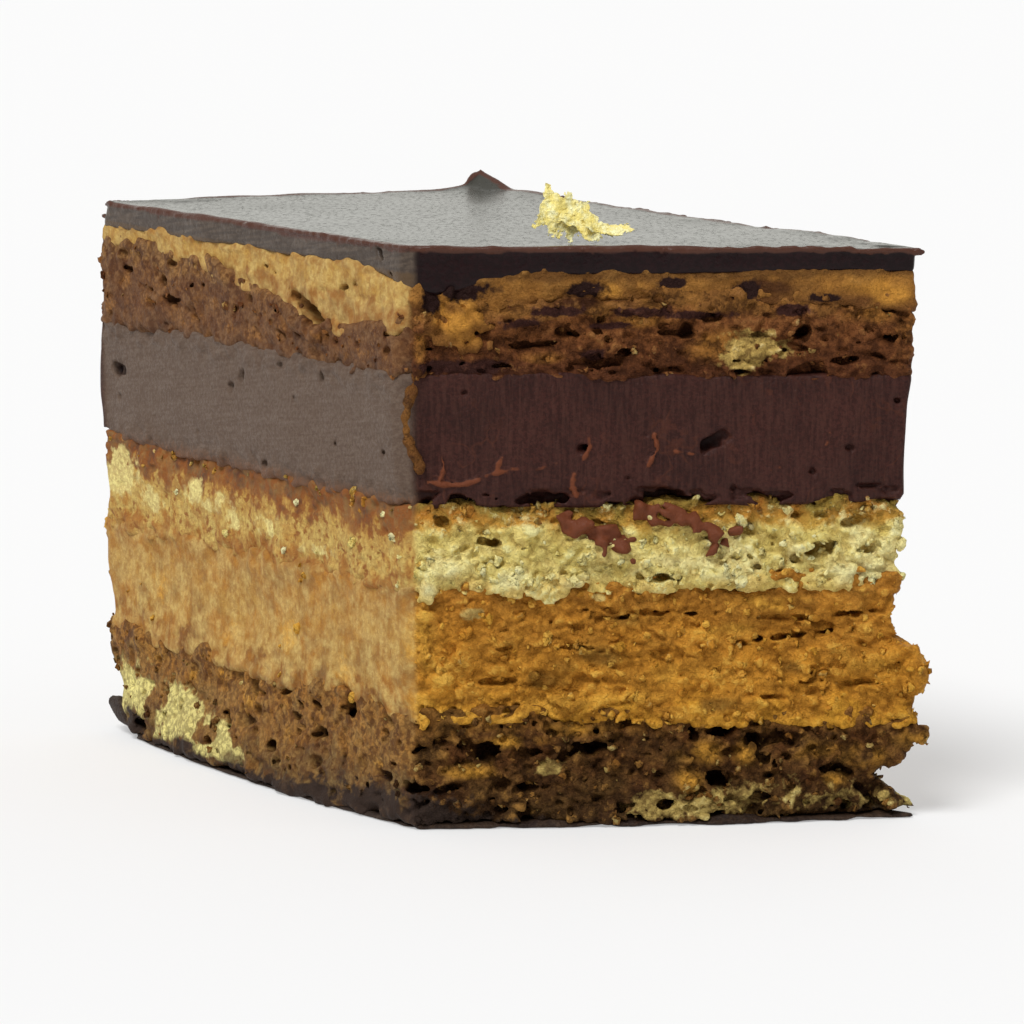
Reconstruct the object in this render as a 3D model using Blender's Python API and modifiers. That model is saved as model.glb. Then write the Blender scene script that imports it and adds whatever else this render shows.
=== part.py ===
"""Opera cake: one portion cut as a slanting four-sided block, built as its layers.

From the table up: base coat, lower sponge, thick cream, middle sponge, ganache, upper sponge,
thin cream and glaze, with a crumpled gold leaf on top. Every layer runs through the portion.
Run with: blender --background --python part.py
"""

import math

import bmesh
import bpy
from mathutils import Vector, noise

# ---- driving dimensions, in millimetres; the meshes are made in metres ----
MM = 0.001
GAP = 0.3  # between two touching layers

# The plan seen from above, X to the right and Y to the back.
NEAR = Vector((-6.0, -24.7))
RIGHT = Vector((32.8, -20.5))
BACK = Vector((-0.4, 24.8))
LEFT = Vector((-32.9, 14.5))
ACROSS = (RIGHT - NEAR).normalized()  # along the front-right side
ALONG = (LEFT - NEAR).normalized()  # along the front-left side

# Height of each seam at the near, right, back and left corners.
SEAMS = {
    "table": (0.0, 0.0, 0.0, 0.0),
    "base_coat": (0.8, 0.8, 0.8, 0.8),
    "lower_sponge": (8.6, 7.9, 8.9, 9.2),
    "thick_cream": (18.1, 18.6, 18.0, 17.6),
    "middle_sponge": (24.6, 24.8, 24.8, 24.9),
    "ganache": (34.2, 33.8, 34.4, 34.4),
    "upper_sponge": (40.6, 39.4, 41.0, 41.4),
    "thin_cream": (41.9, 41.7, 42.9, 42.5),
    "glaze": (43.9, 43.3, 44.7, 44.2),
}
SEAM_WAVE = 0.22  # rise and fall of the seams inside the portion
SEAM_WAVE_LENGTH = 9.0

# Each layer's rows up its side, then colour, roughness and metallic value.
LAYERS = {
    "base_coat": (1, (0.035, 0.020, 0.016), 0.45, 0.0),
    "lower_sponge": (5, (0.210, 0.100, 0.035), 0.85, 0.0),
    "thick_cream": (5, (0.420, 0.200, 0.050), 0.60, 0.0),
    "middle_sponge": (3, (0.560, 0.450, 0.180), 0.90, 0.0),
    "ganache": (3, (0.070, 0.032, 0.022), 0.42, 0.0),
    "upper_sponge": (3, (0.150, 0.065, 0.027), 0.80, 0.0),
    "thin_cream": (1, (0.460, 0.230, 0.060), 0.55, 0.0),
    "glaze": (2, (0.028, 0.014, 0.012), 0.25, 0.0),
}
GRID = 12  # cells across and along each layer

# Pushed or pulled features.
POCKET_DEPTH = 3.9  # thin cream pressed down into the upper sponge along the front-left side
POCKET_FROM_NEAR = 10.0
POCKET_REACH = (7.5, 15.0)  # across and along
DRIP_DEPTH = 1.4  # glaze sunk into the thin cream on the front-right side
DRIP_FROM_NEAR = 2.5
DRIP_REACH = 4.0
PEAK_HEIGHT = 1.7  # glaze pulled up by the knife at the back corner
PEAK_REACH = 1.5
RIM_HEIGHT = 0.2  # edge of the glaze left proud by the cut
RIM_SHARPNESS = 40  # the power that keeps the rim close to the edge
CURL_HEIGHT = 2.9  # base coat curled up at the left corner
CURL_REACH = 5.5
EDGE_ROUND = 0.4  # the upright edges, drawn in
SKIN_POWER = 8  # keeps the shaping of the sides away from the middle of the portion
SIDE_WOBBLE = 0.35  # each layer's side stands out or in by up to this
SIDE_WOBBLE_LENGTH = 7.0
CORNER_REACH = 11.0  # how far a corner's own outline runs along its sides
FOOT = {"front_left": 1.9, "front_right": 0.9}  # how far the spread foot stands out at mid-side

# Outline of the upright edges: how far out the side stands at each height.
FOOT_OUTLINE = ((0, 1.0), (3, 0.7), (7, 0.25), (12, 0.0))
NEAR_OUTLINE = ((0, 0.0), (20, 0.0), (25, 0.5), (31, 0.8), (38, 0.6), (42, 0.2), (44, 0.0))
RIGHT_OUTLINE = (
    (0, 0.0), (1.6, -0.3), (2.4, -2.6), (4.7, -2.5), (5.4, -0.1), (8, 0.0), (12.5, 0.1),
    (14.2, -2.7), (18, -1.7), (25, -1.5), (33, -0.9), (40, -0.6), (44, -0.5),
)
LEFT_OUTLINE = (
    (0, 0.1), (0.9, -3.2), (4.2, -3.2), (6.5, -1.0), (8.5, 0.0), (10.2, -1.8), (14, -0.6),
    (17.5, -0.3), (19.6, -2.0), (21.2, -0.5), (25, 0.0), (27, 0.5), (34, -0.2), (37, -0.7),
    (40, 0.2), (42.4, -0.4), (44.2, -1.5),
)

# Gold leaf: a crumpled strip that leans up from the glaze.
LEAF_START = Vector((3.4, -18.2))
LEAF_END = Vector((10.4, -21.0))
LEAF_THICKNESS = 0.3
LEAF_LEAN = 1.5  # how far the raised edge leans to the back
LEAF_OUTLINE = ((0, 1.6), (0.14, 3.1), (0.3, 2.7), (0.62, 1.2), (0.74, 0.5), (0.9, 1.2), (1, 0.6))
LEAF_CELLS = (14, 5)
LEAF_CRUMPLE = 0.35
LEAF_COLOUR = (0.900, 0.640, 0.160)


def mix(a, b, t):
    return a + (b - a) * t


def over_corners(values, u, v):
    """Value at (u, v) from the values at the near, right, back and left corners."""
    near, right, back, left = values
    return mix(mix(near, right, u), mix(left, back, u), v)


def outline_at(points, height):
    """Straight runs between (height, value) points."""
    if height <= points[0][0]:
        return points[0][1]
    for (low, first), (high, second) in zip(points, points[1:]):
        if height <= high:
            return mix(first, second, (height - low) / (high - low))
    return points[-1][1]


def bell(distance, reach):
    """1 at the middle, easing to 0 at about twice the reach."""
    return math.exp(-((distance / reach) ** 2))


def wave(x, y, z, length):
    return noise.noise(Vector((x / length, y / length, z / length + 3.7)))


def plan_point(u, v):
    return over_corners((NEAR, RIGHT, BACK, LEFT), u, v)


def seam_height(seam, u, v):
    """Height of a seam at (u, v), with the features that bend it."""
    point = plan_point(u, v)
    corners = SEAMS[seam]
    height = over_corners(corners, u, v)
    if seam not in ("table", "base_coat"):
        height += SEAM_WAVE * wave(point.x, point.y, corners[0] * 5.0, SEAM_WAVE_LENGTH)
    if seam in ("table", "base_coat"):
        from_left = (point - LEFT).length
        curl = max(0.0, 1.0 - from_left / CURL_REACH) ** 1.5
        height += CURL_HEIGHT * curl - (0.35 * curl if seam == "base_coat" else 0.0)
    if seam == "upper_sponge":
        across = bell(u * (RIGHT - NEAR).length, POCKET_REACH[0])
        along = bell(v * (LEFT - NEAR).length - POCKET_FROM_NEAR, POCKET_REACH[1])
        height -= POCKET_DEPTH * across * along
    if seam == "thin_cream":
        from_drip = (point - (NEAR + ACROSS * DRIP_FROM_NEAR)).length
        height -= DRIP_DEPTH * bell(from_drip, DRIP_REACH)
    if seam == "glaze":
        height += PEAK_HEIGHT * bell((point - BACK).length, PEAK_REACH)
        edge = max(abs(2 * u - 1), abs(2 * v - 1))
        height += RIM_HEIGHT * edge**RIM_SHARPNESS
    return height


def side_offset(side, height, from_corner, length, layer):
    """How far a side stands out, at a height and at a distance from the corner it starts at."""
    foot = FOOT.get(side, 0.0) * outline_at(FOOT_OUTLINE, height)
    foot *= math.sin(math.pi * from_corner / length)
    shape = {"front_left": NEAR_OUTLINE, "back_right": RIGHT_OUTLINE, "back_left": LEFT_OUTLINE}
    corner = outline_at(shape[side], height) if side in shape else 0.0
    corner *= bell(from_corner, CORNER_REACH)
    away = 1.0 - bell(from_corner, CORNER_REACH / 2)
    wobble = SIDE_WOBBLE * wave(from_corner, height, layer * 11.0 + len(side), SIDE_WOBBLE_LENGTH)
    if height < SEAMS["base_coat"][0]:
        wobble = 0.0
    return foot + corner + wobble * away


def place(u, v, height, layer):
    """The point of a layer at (u, v) and this height, in millimetres."""
    wide = (RIGHT - NEAR).length
    deep = (LEFT - NEAR).length
    point = plan_point(u, v)
    front_left = side_offset("front_left", height, v * deep, deep, layer)
    back_right = side_offset("back_right", height, v * deep, deep, layer)
    front_right = side_offset("front_right", height, u * wide, wide, layer)
    back_left = side_offset("back_left", height, u * wide, wide, layer)
    point += ACROSS * (back_right * u**SKIN_POWER - front_left * (1 - u) ** SKIN_POWER)
    point += ALONG * (back_left * v**SKIN_POWER - front_right * (1 - v) ** SKIN_POWER)
    if u in (0.0, 1.0) and v in (0.0, 1.0):
        point += (plan_point(0.5, 0.5) - point).normalized() * EDGE_ROUND
    return Vector((point.x, point.y, height))


def eased(t):
    """Even steps drawn towards both ends, so that the cells are small at the portion's edges."""
    return 0.5 - 0.5 * math.cos(math.pi * t)


def material(name, colour, roughness, metallic):
    made = bpy.data.materials.new(name)
    made.use_nodes = True
    shader = made.node_tree.nodes["Principled BSDF"]
    shader.inputs["Base Color"].default_value = (*colour, 1.0)
    shader.inputs["Roughness"].default_value = roughness
    shader.inputs["Metallic"].default_value = metallic
    return made


def add_object(name, mesh, finish, collection):
    mesh.materials.append(finish)
    mesh.shade_smooth()
    mesh.set_sharp_from_angle(angle=math.radians(40))
    obj = bpy.data.objects.new(name, mesh)
    collection.objects.link(obj)
    return obj


def gridded_cube(rows):
    """A cube from 0 to 1, cut into GRID by GRID by rows cells."""
    bm = bmesh.new()
    bmesh.ops.create_cube(bm, size=1.0)
    bmesh.ops.translate(bm, verts=bm.verts, vec=(0.5, 0.5, 0.5))
    for axis, cells in enumerate((GRID, GRID, rows)):
        if cells < 2:
            continue
        edges = [e for e in bm.edges if abs(e.verts[0].co[axis] - e.verts[1].co[axis]) > 1e-6]
        bmesh.ops.subdivide_edges(bm, edges=edges, cuts=cells - 1, use_grid_fill=True)
    return bm


def add_layer(name, below, number, collection):
    """One layer, from the seam below it to its own seam, shaped from a gridded cube."""
    rows, colour, roughness, metallic = LAYERS[name]
    bm = gridded_cube(rows)
    for vert in bm.verts:
        u, v, w = (round(c, 6) for c in vert.co)
        u, v = eased(u), eased(v)
        low = seam_height(below, u, v) + (0.0 if below == "table" else GAP / 2)
        high = seam_height(name, u, v) - (0.0 if name == "glaze" else GAP / 2)
        level = mix(SEAMS[below][0], SEAMS[name][0], w) if name == "base_coat" else mix(low, high, w)
        point = place(u, v, level, number)
        point.z = mix(low, high, w)
        vert.co = point * MM
    bmesh.ops.triangulate(bm, faces=bm.faces)
    mesh = bpy.data.meshes.new(name)
    bm.to_mesh(mesh)
    bm.free()
    return add_object(name, mesh, material(name, colour, roughness, metallic), collection)


def add_gold_leaf(collection):
    """A crumpled strip, leaning up from its long lower edge."""
    bm = bmesh.new()
    columns, rows = LEAF_CELLS
    bmesh.ops.create_grid(bm, x_segments=columns, y_segments=rows, size=0.5)
    run = (LEAF_END - LEAF_START).normalized()
    back = Vector((-run.y, run.x))
    ground = seam_height("glaze", 0.3, 0.15) + GAP + LEAF_THICKNESS
    for vert in bm.verts:
        along = vert.co.x + 0.5
        up = vert.co.y + 0.5
        foot = LEAF_START.lerp(LEAF_END, along)
        rise = outline_at(LEAF_OUTLINE, along) * up
        crease = LEAF_CRUMPLE * wave(along * 30, up * 12, 0.0, 3.0)
        foot += back * (LEAF_LEAN * up + 2 * crease)
        vert.co = Vector((foot.x, foot.y, ground + rise + crease * up)) * MM
    mesh = bpy.data.meshes.new("gold_leaf")
    bm.to_mesh(mesh)
    bm.free()
    leaf = add_object("gold_leaf", mesh, material("gold_leaf", LEAF_COLOUR, 0.25, 1.0), collection)
    shell = leaf.modifiers.new("thickness", "SOLIDIFY")
    shell.thickness = LEAF_THICKNESS * MM
    shell.offset = 0.0
    return leaf


def main():
    for obj in list(bpy.data.objects):
        bpy.data.objects.remove(obj)
    cake = bpy.data.collections.new("opera_cake")
    bpy.context.scene.collection.children.link(cake)
    seams = list(SEAMS)
    for number, name in enumerate(LAYERS):
        add_layer(name, seams[number], number, cake)
    add_gold_leaf(cake)


main()
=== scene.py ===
# Opera cake: the looks of every layer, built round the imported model.
# Lengths in the dictionaries are millimetres; the finished meshes are in metres.
import math

import bmesh
import bpy
import numpy as np
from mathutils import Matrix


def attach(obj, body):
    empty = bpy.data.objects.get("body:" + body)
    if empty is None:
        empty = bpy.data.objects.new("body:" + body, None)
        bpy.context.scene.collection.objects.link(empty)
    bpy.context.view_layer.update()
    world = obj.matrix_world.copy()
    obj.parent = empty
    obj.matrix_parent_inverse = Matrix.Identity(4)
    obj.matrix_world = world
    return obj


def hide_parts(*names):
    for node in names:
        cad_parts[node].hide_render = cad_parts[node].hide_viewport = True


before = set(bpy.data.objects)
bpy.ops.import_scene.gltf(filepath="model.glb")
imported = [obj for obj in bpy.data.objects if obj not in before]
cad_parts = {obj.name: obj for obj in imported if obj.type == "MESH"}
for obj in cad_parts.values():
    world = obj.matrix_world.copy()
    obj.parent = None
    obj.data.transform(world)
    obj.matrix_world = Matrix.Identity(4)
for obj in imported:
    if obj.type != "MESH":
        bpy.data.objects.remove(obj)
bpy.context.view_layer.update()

import openvdb
from mathutils import Vector

mm = 0.001
coarse = 1.0
mostTriangles = 190000  # in one piece
crumbCorners = 42  # corners of one loose crumb
blockMargin = 2.0  # room around a layer
bandWidth = 3.0  # distances are known this far from the surface
sideReach = (2.2, 1.2)  # roughening fades out between these depths
spotReach = (6.0, 4.0)  # and coloured spots between these
clearance = 0.02  # lowest point above the table
seatDepth = 0.6  # where scattered blobs start from
latticeSpread = 0.332  # spread of a cubic field drawn from a lattice of spread 1
ridgeStep = 0.22
edgeStep = 0.3
rimStep = 0.4
ragged = {"hollows": 0.12, "lobes": 0.12, "ridges": 0.03, "edge": 0.14, "rim": 0.04}
# each use of random numbers in a layer has a seed of its own
seeds = {"tornLumps": 0, "crumble": 20, "gaps": 30, "wipedLumps": 40, "undercut": 50, "crumb": 60, "fray": 61,
         "pores": 70, "tone": 101, "toneFine": 102, "rim": 103}


# Plan of the portion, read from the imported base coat.

def planSides():
    points = np.array([v.co[:2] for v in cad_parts["base_coat"].data.vertices]) / mm
    near, right = points[points[:, 1].argmin()], points[points[:, 0].argmax()]
    back, left = points[points[:, 1].argmax()], points[points[:, 0].argmin()]
    sides = {}
    for name, start, end in (
        ("frontRight", near, right), ("backRight", right, back),
        ("backLeft", back, left), ("frontLeft", left, near),
    ):
        along = (end - start) / np.linalg.norm(end - start)
        sides[name] = {
            "start": start, "along": along, "out": np.array((along[1], -along[0])),
            "length": np.linalg.norm(end - start),
        }
    return sides


sides = planSides()
tornSides = ("frontRight", "backLeft")  # pulled apart by the cut, the others wiped smooth


def onSide(side, s, z):
    # a point in the plane of a side: s runs along it from its first corner
    flat = sides[side]["start"] + sides[side]["along"] * s
    return np.array((flat[0], flat[1], z))


def easeStep(low, high, value):
    t = np.clip((value - low) / (high - low), 0, 1)
    return t * t * (3 - 2 * t)


# Voxel blocks: a layer as distances to its surface, which can be roughened, carved and built up.

def layerShell(node, lap):
    # corners and triangles of a packed layer, its underside and top moved out by lap
    bm = bmesh.new()
    bm.from_mesh(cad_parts[node].data)
    bmesh.ops.remove_doubles(bm, verts=bm.verts, dist=1e-6)
    bm.normal_update()
    for vert in bm.verts:
        if vert.normal.z < -0.3:
            vert.co.z -= lap[0] * mm
        elif vert.normal.z > 0.3:
            vert.co.z += lap[1] * mm
    bmesh.ops.triangulate(bm, faces=bm.faces)
    points = np.array([v.co[:] for v in bm.verts], np.float32) / mm
    faces = np.array([[v.index for v in f.verts] for f in bm.faces], np.uint32)
    bm.free()
    return points, faces


def makeBlock(node, look):
    # distances to the layer's surface on a coarse lattice, drawn smoothly on the fine one
    voxel = look["voxel"] * coarse
    cell = look["soften"]
    points, faces = layerShell(node, look["lap"])
    band = math.ceil(bandWidth / cell)
    shell = openvdb.FloatGrid.createLevelSetFromPolygons(
        points, triangles=faces, transform=openvdb.createLinearTransform(voxelSize=cell),
        exBandWidth=band, inBandWidth=band,
    )
    low = np.floor((points.min(0) - blockMargin) / voxel).astype(int)
    counts = np.ceil((points.max(0) + blockMargin) / voxel).astype(int) + 1 - low
    start = np.floor(low * voxel / cell).astype(int) - 1
    values = np.empty(np.ceil(counts * voxel / cell).astype(int) + 5, np.float32)
    shell.copyToArray(values, ijk=[int(i) for i in start])
    body = drawField(values, counts, [voxel / cell] * 3, low * voxel / cell - start - 1)
    block = {"voxel": voxel, "low": low, "body": body, "field": body.copy(), "seed": look["seed"]}
    x, y = ((low[k] + np.arange(counts[k])) * voxel for k in (0, 1))
    depth, block["plane"] = {}, {}
    for name, side in sides.items():
        reach = (points[:, :2] - side["start"]) @ side["out"]
        plane = np.median(reach[reach > reach.max() - 2.5])  # this layer's own side
        flat = (x[:, None] - side["start"][0]) * side["out"][0] + (y - side["start"][1]) * side["out"][1]
        block["plane"][name] = plane
        depth[name] = plane - flat
    torn = np.minimum(depth["frontRight"], depth["backLeft"])
    wiped = np.minimum(depth["frontLeft"], depth["backRight"])
    block["torn"] = easeStep(-0.25, 0.25, wiped - torn)[:, :, None].astype(np.float32)
    rim = easeStep(*sideReach, np.minimum(torn, wiped))[:, :, None].astype(np.float32)
    block["tornRim"] = block["torn"] * rim
    block["wipedRim"] = (1 - block["torn"]) * rim
    block["seams"] = seamPlanes(block, look["lap"])
    flat = [x[:, None] * a + y * b + c for a, b, c in block["seams"]]
    z = (low[2] + np.arange(counts[2])) * voxel
    thick = np.maximum(flat[1] - flat[0], 0.3)
    block["level"] = ((z - flat[0][:, :, None]) / thick[:, :, None]).astype(np.float32)
    return block


def seamPlanes(block, lap):
    # planes through the layer's underside and top, as slopes along x and y and a height
    stride = 8
    solid = block["body"][::stride, ::stride] < 0
    i, j = np.nonzero(solid.any(2))
    voxel, low = block["voxel"], block["low"]
    flat = np.column_stack([
        (i * stride + low[0]) * voxel, (j * stride + low[1]) * voxel, np.ones(len(i))])
    first, last = solid[i, j].argmax(1), solid.shape[2] - 1 - solid[i, j, ::-1].argmax(1)
    heights = ((first + low[2]) * voxel + lap[0], (last + low[2]) * voxel - lap[1])
    return [np.linalg.lstsq(flat, height, rcond=None)[0] for height in heights]


def drawField(values, counts, steps, start=(0, 0, 0)):
    # a smooth cubic field through a coarse lattice: counts points per axis, steps lattice cells apart
    for axis in (2, 1, 0):
        at = start[axis] + np.arange(counts[axis]) * steps[axis]
        first = at.astype(int)
        t = at - first
        weights = ((1 - t) ** 3, 3 * t**3 - 6 * t**2 + 4, 3 * (t - t**3 + t**2) + 1, t**3)
        weights = np.array(weights, np.float32) / 6
        source = np.ascontiguousarray(np.moveaxis(values, axis, 0))
        drawn = np.empty((counts[axis], *source.shape[1:]), np.float32)
        for i, f in enumerate(first):
            drawn[i] = sum(weights[k, i] * source[f + k] for k in range(4))
        values = np.moveaxis(drawn, 0, axis)
    return values


def lumps(block, cell, seed):
    # smooth random values over a block, mostly -2 to 2; cell is the size of a lump along x, y and z
    rng = np.random.default_rng((block["seed"], seed))
    counts = block["field"].shape
    steps = [block["voxel"] / size for size in cell]
    shape = [int((n - 1) * step) + 4 for n, step in zip(counts, steps)]
    return drawField(rng.standard_normal(shape).astype(np.float32) / latticeSpread, counts, steps)


def readBlock(block, values, points):
    # values of a block at points, mixed from the eight voxels round each
    place = np.clip(points / block["voxel"] - block["low"], 0, np.array(values.shape) - 1.001)
    first = place.astype(int)
    part = place - first
    total = np.zeros(len(points), np.float32)
    for i in (0, 1):
        for j in (0, 1):
            for k in (0, 1):
                share = np.abs(1 - i - part[:, 0]) * np.abs(1 - j - part[:, 1]) * np.abs(1 - k - part[:, 2])
                total += share * values[first[:, 0] + i, first[:, 1] + j, first[:, 2] + k]
    return total


def seat(block, points, outs, depth):
    # slides points in or out until they lie at a depth below the plain side
    for _ in range(8):
        points = points - outs * (readBlock(block, block["body"], points) + depth)[:, None] * 0.9
    return points


def stamp(block, blobs, carve, uneven=0.0):
    # presses ellipsoids into the field, or adds them to it
    field, low, voxel = block["field"], block["low"], block["voxel"]
    for centre, along, tilt, radii in blobs:
        reach = max(radii) + 3 * voxel
        first = np.maximum(np.floor((centre - reach) / voxel).astype(int) - low, 0)
        last = np.minimum(np.ceil((centre + reach) / voxel).astype(int) - low + 1, field.shape)
        if (last <= first).any():
            continue
        part = tuple(slice(a, b) for a, b in zip(first, last))
        x, y, z = (((np.arange(a, b) + o) * voxel - c).astype(np.float32)
                   for a, b, o, c in zip(first, last, low, centre))
        x, y, z = x[:, None, None], y[None, :, None], z[None, None, :]
        run, out = x * along[0] + y * along[1], (y * along[0] - x * along[1]) / radii[1]
        cos, sin = math.cos(tilt), math.sin(tilt)
        u, w = (run * cos + z * sin) / radii[0], (z * cos - run * sin) / radii[2]
        away = (np.sqrt(u * u + out * out + w * w) - 1) * min(radii)
        if uneven:
            away = away + uneven * block["crumb"][part]
        field[part] = np.maximum(field[part], -away) if carve else np.minimum(field[part], away)


def listed(look, sort):
    # spots that a look gives side by side, as one list
    return [(side, *spot) for side, spots in look.get(sort, {}).items() for spot in spots]


def placedBlobs(block, spots):
    # spots: side, s, z, depth, tilt in degrees, radii along, out and up
    blobs = []
    for side, s, z, depth, tilt, *radii in spots:
        out = np.array((*sides[side]["out"], 0.0))
        point = seat(block, onSide(side, s, z)[None, :], out, depth)[0]
        blobs.append((point, sides[side]["along"], math.radians(tilt), radii))
    return blobs


def ridgeSpots(side, path, radii, depth=-0.05):
    # a thin ridge of small blobs through points given as s and z
    spots = []
    for (s0, z0), (s1, z1) in zip(path, path[1:]):
        for t in np.arange(0, 1, ridgeStep / math.dist((s0, z0), (s1, z1))):
            sway = 1 + 0.2 * math.sin(7 * (s0 + z0) + 9 * t)
            place = (s0 + t * (s1 - s0), z0 + t * (z1 - z0))
            spots.append((side, *place, depth, 0, *[r * sway for r in radii]))
    return spots


def scatteredBlobs(block, look, seed):
    # blobs strewn over all four sides, large ones rarer
    rng = np.random.default_rng((block["seed"], seed))
    bottom = block["low"][2] * block["voxel"]
    top = (block["low"][2] + block["field"].shape[2]) * block["voxel"]
    blobs = []
    for name, side in sides.items():
        share = 1.0 if name in tornSides else look["onWiped"]
        count = int(look["perMm"] * side["length"] * (top - bottom) * share)
        points = side["start"] + side["along"] * rng.uniform(-1, side["length"] + 1, count)[:, None]
        points = np.column_stack([points, rng.uniform(bottom, top, count)])
        out = np.array((*side["out"], 0.0))
        points = seat(block, points, out, seatDepth)
        points = points[readBlock(block, block["body"], points) < -0.3]
        points = points + out * (seatDepth - rng.uniform(*look["depth"], len(points)))[:, None]
        small, large = look["radius"]
        for point in points:
            size = small + (large - small) * rng.random() ** look["rarity"]
            radii = [size * rng.uniform(0.8, 1.3) * ratio for ratio in look["ratio"]]
            blobs.append((point, side["along"], rng.normal(0, 0.35), radii))
    return blobs


def edgeBlobs(block, look):
    # a thin torn lip up the near edge, between two heights
    rng = np.random.default_rng(block["seed"])
    spots = []
    for z in np.arange(look["from"], look["to"], edgeStep):
        size = rng.uniform(*look["size"])
        sway = 0.15 * math.sin(z * 1.1 + block["seed"]) + rng.uniform(-0.1, 0.1)
        spots.append(("frontRight", look["at"] + sway, z, 0.05, rng.uniform(-40, 40), size, size, size * 1.2))
    return placedBlobs(block, spots)


def fieldMesh(name, block, adaptivity, smallest=0):
    voxel = block["voxel"]
    grid = openvdb.FloatGrid(float(block["field"].max()))
    grid.copyFromArray(np.ascontiguousarray(block["field"]), ijk=[int(i) for i in block["low"]])
    grid.transform = openvdb.createLinearTransform(voxelSize=voxel)
    points, tris, quads = grid.convertToPolygons(isovalue=0.0, adaptivity=adaptivity)
    points, tris, quads = mainParts(points, tris.astype(int), quads.astype(int), smallest)
    a, b, c = (points[quads[:, k]] for k in range(3))
    if (a * np.cross(b, c)).sum() < 0:
        tris, quads = tris[:, ::-1], quads[:, ::-1]
    mesh = bpy.data.meshes.new(name)
    mesh.vertices.add(len(points))
    mesh.vertices.foreach_set("co", (points * mm).astype(np.float32).ravel())
    mesh.loops.add(tris.size + quads.size)
    mesh.loops.foreach_set("vertex_index", np.concatenate([tris.ravel(), quads.ravel()]).astype(np.int32))
    starts = np.concatenate([np.arange(len(tris)) * 3, tris.size + np.arange(len(quads)) * 4])
    mesh.polygons.add(len(starts))
    mesh.polygons.foreach_set("loop_start", starts.astype(np.int32))
    mesh.update(calc_edges=True)
    mesh.validate()
    mesh = thinned(mesh, mostTriangles)
    mesh.shade_smooth()
    points = np.empty(len(mesh.vertices) * 3, np.float32)
    mesh.vertices.foreach_get("co", points)
    points = points.reshape(-1, 3) / mm
    writeValues(mesh, "cavity", np.clip(-readBlock(block, block["body"], points), -1, 2))
    flat = np.broadcast_to(block["torn"], block["field"].shape)
    writeValues(mesh, "torn", readBlock(block, flat, points))
    if "plain" in block:
        writeValues(mesh, "proud", np.clip(readBlock(block, block["plain"], points), -1, 1))
    writeValues(mesh, "relief", readBlock(block, block["relief"], points))
    writeValues(mesh, "level", readBlock(block, block["level"], points))
    return mesh, points


def triangles(mesh):
    return len(mesh.loops) - 2 * len(mesh.polygons)


def thinned(mesh, most):
    # fewer triangles where the surface is plainest
    count = triangles(mesh)
    if count <= most:
        return mesh
    carrier = bpy.data.objects.new("carrier", mesh)
    bpy.context.scene.collection.objects.link(carrier)
    carrier.modifiers.new("thin", "DECIMATE").ratio = most / count
    thin = bpy.data.meshes.new_from_object(carrier.evaluated_get(bpy.context.evaluated_depsgraph_get()))
    bpy.data.objects.remove(carrier)
    return thin


def mainParts(points, tris, quads, smallest):
    # keeps the one body, or every part with enough corners, without bubbles and loose specks
    edges = np.concatenate([tris[:, :2], tris[:, 1:], quads[:, :2], quads[:, 1:3], quads[:, 2:]])
    label = np.arange(len(points))
    while True:
        before = label.copy()
        low = np.minimum(label[edges[:, 0]], label[edges[:, 1]])
        np.minimum.at(label, edges[:, 0], low)
        np.minimum.at(label, edges[:, 1], low)
        label = label[label]
        if (label == before).all():
            break
    sizes = np.bincount(label)
    keep = sizes[label] >= smallest if smallest else label == sizes.argmax()
    fresh = np.cumsum(keep) - 1
    return points[keep], fresh[tris[keep[tris[:, 0]]]], fresh[quads[keep[quads[:, 0]]]]


def writeValues(mesh, name, values):
    layer = mesh.attributes.get(name) or mesh.attributes.new(name, "FLOAT", "POINT")
    layer.data.foreach_set("value", values.astype(np.float32))


def sideSpots(points, spots):
    # soft-edged spots on the sides, 1 at their middle: side, s, z, reach along, reach up
    total = np.zeros(len(points))
    for side, s, z, wide, tall in spots:
        info = sides[side]
        flat = points[:, :2] - info["start"]
        run = flat @ info["along"]
        depth = -(flat @ info["out"])
        close = np.exp(-((run - s) / wide) ** 2 - ((points[:, 2] - z) / tall) ** 2)
        total = np.maximum(total, close * easeStep(*spotReach, depth))
    return total


def addPiece(name, mesh, node, material):
    piece = bpy.data.objects.new(name, mesh)
    bpy.context.scene.collection.objects.link(piece)
    mesh.materials.clear()
    mesh.materials.append(material)
    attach(piece, "root")
    if node:
        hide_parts(node)
    print(name, "made with", triangles(mesh), "triangles")
    return piece


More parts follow.
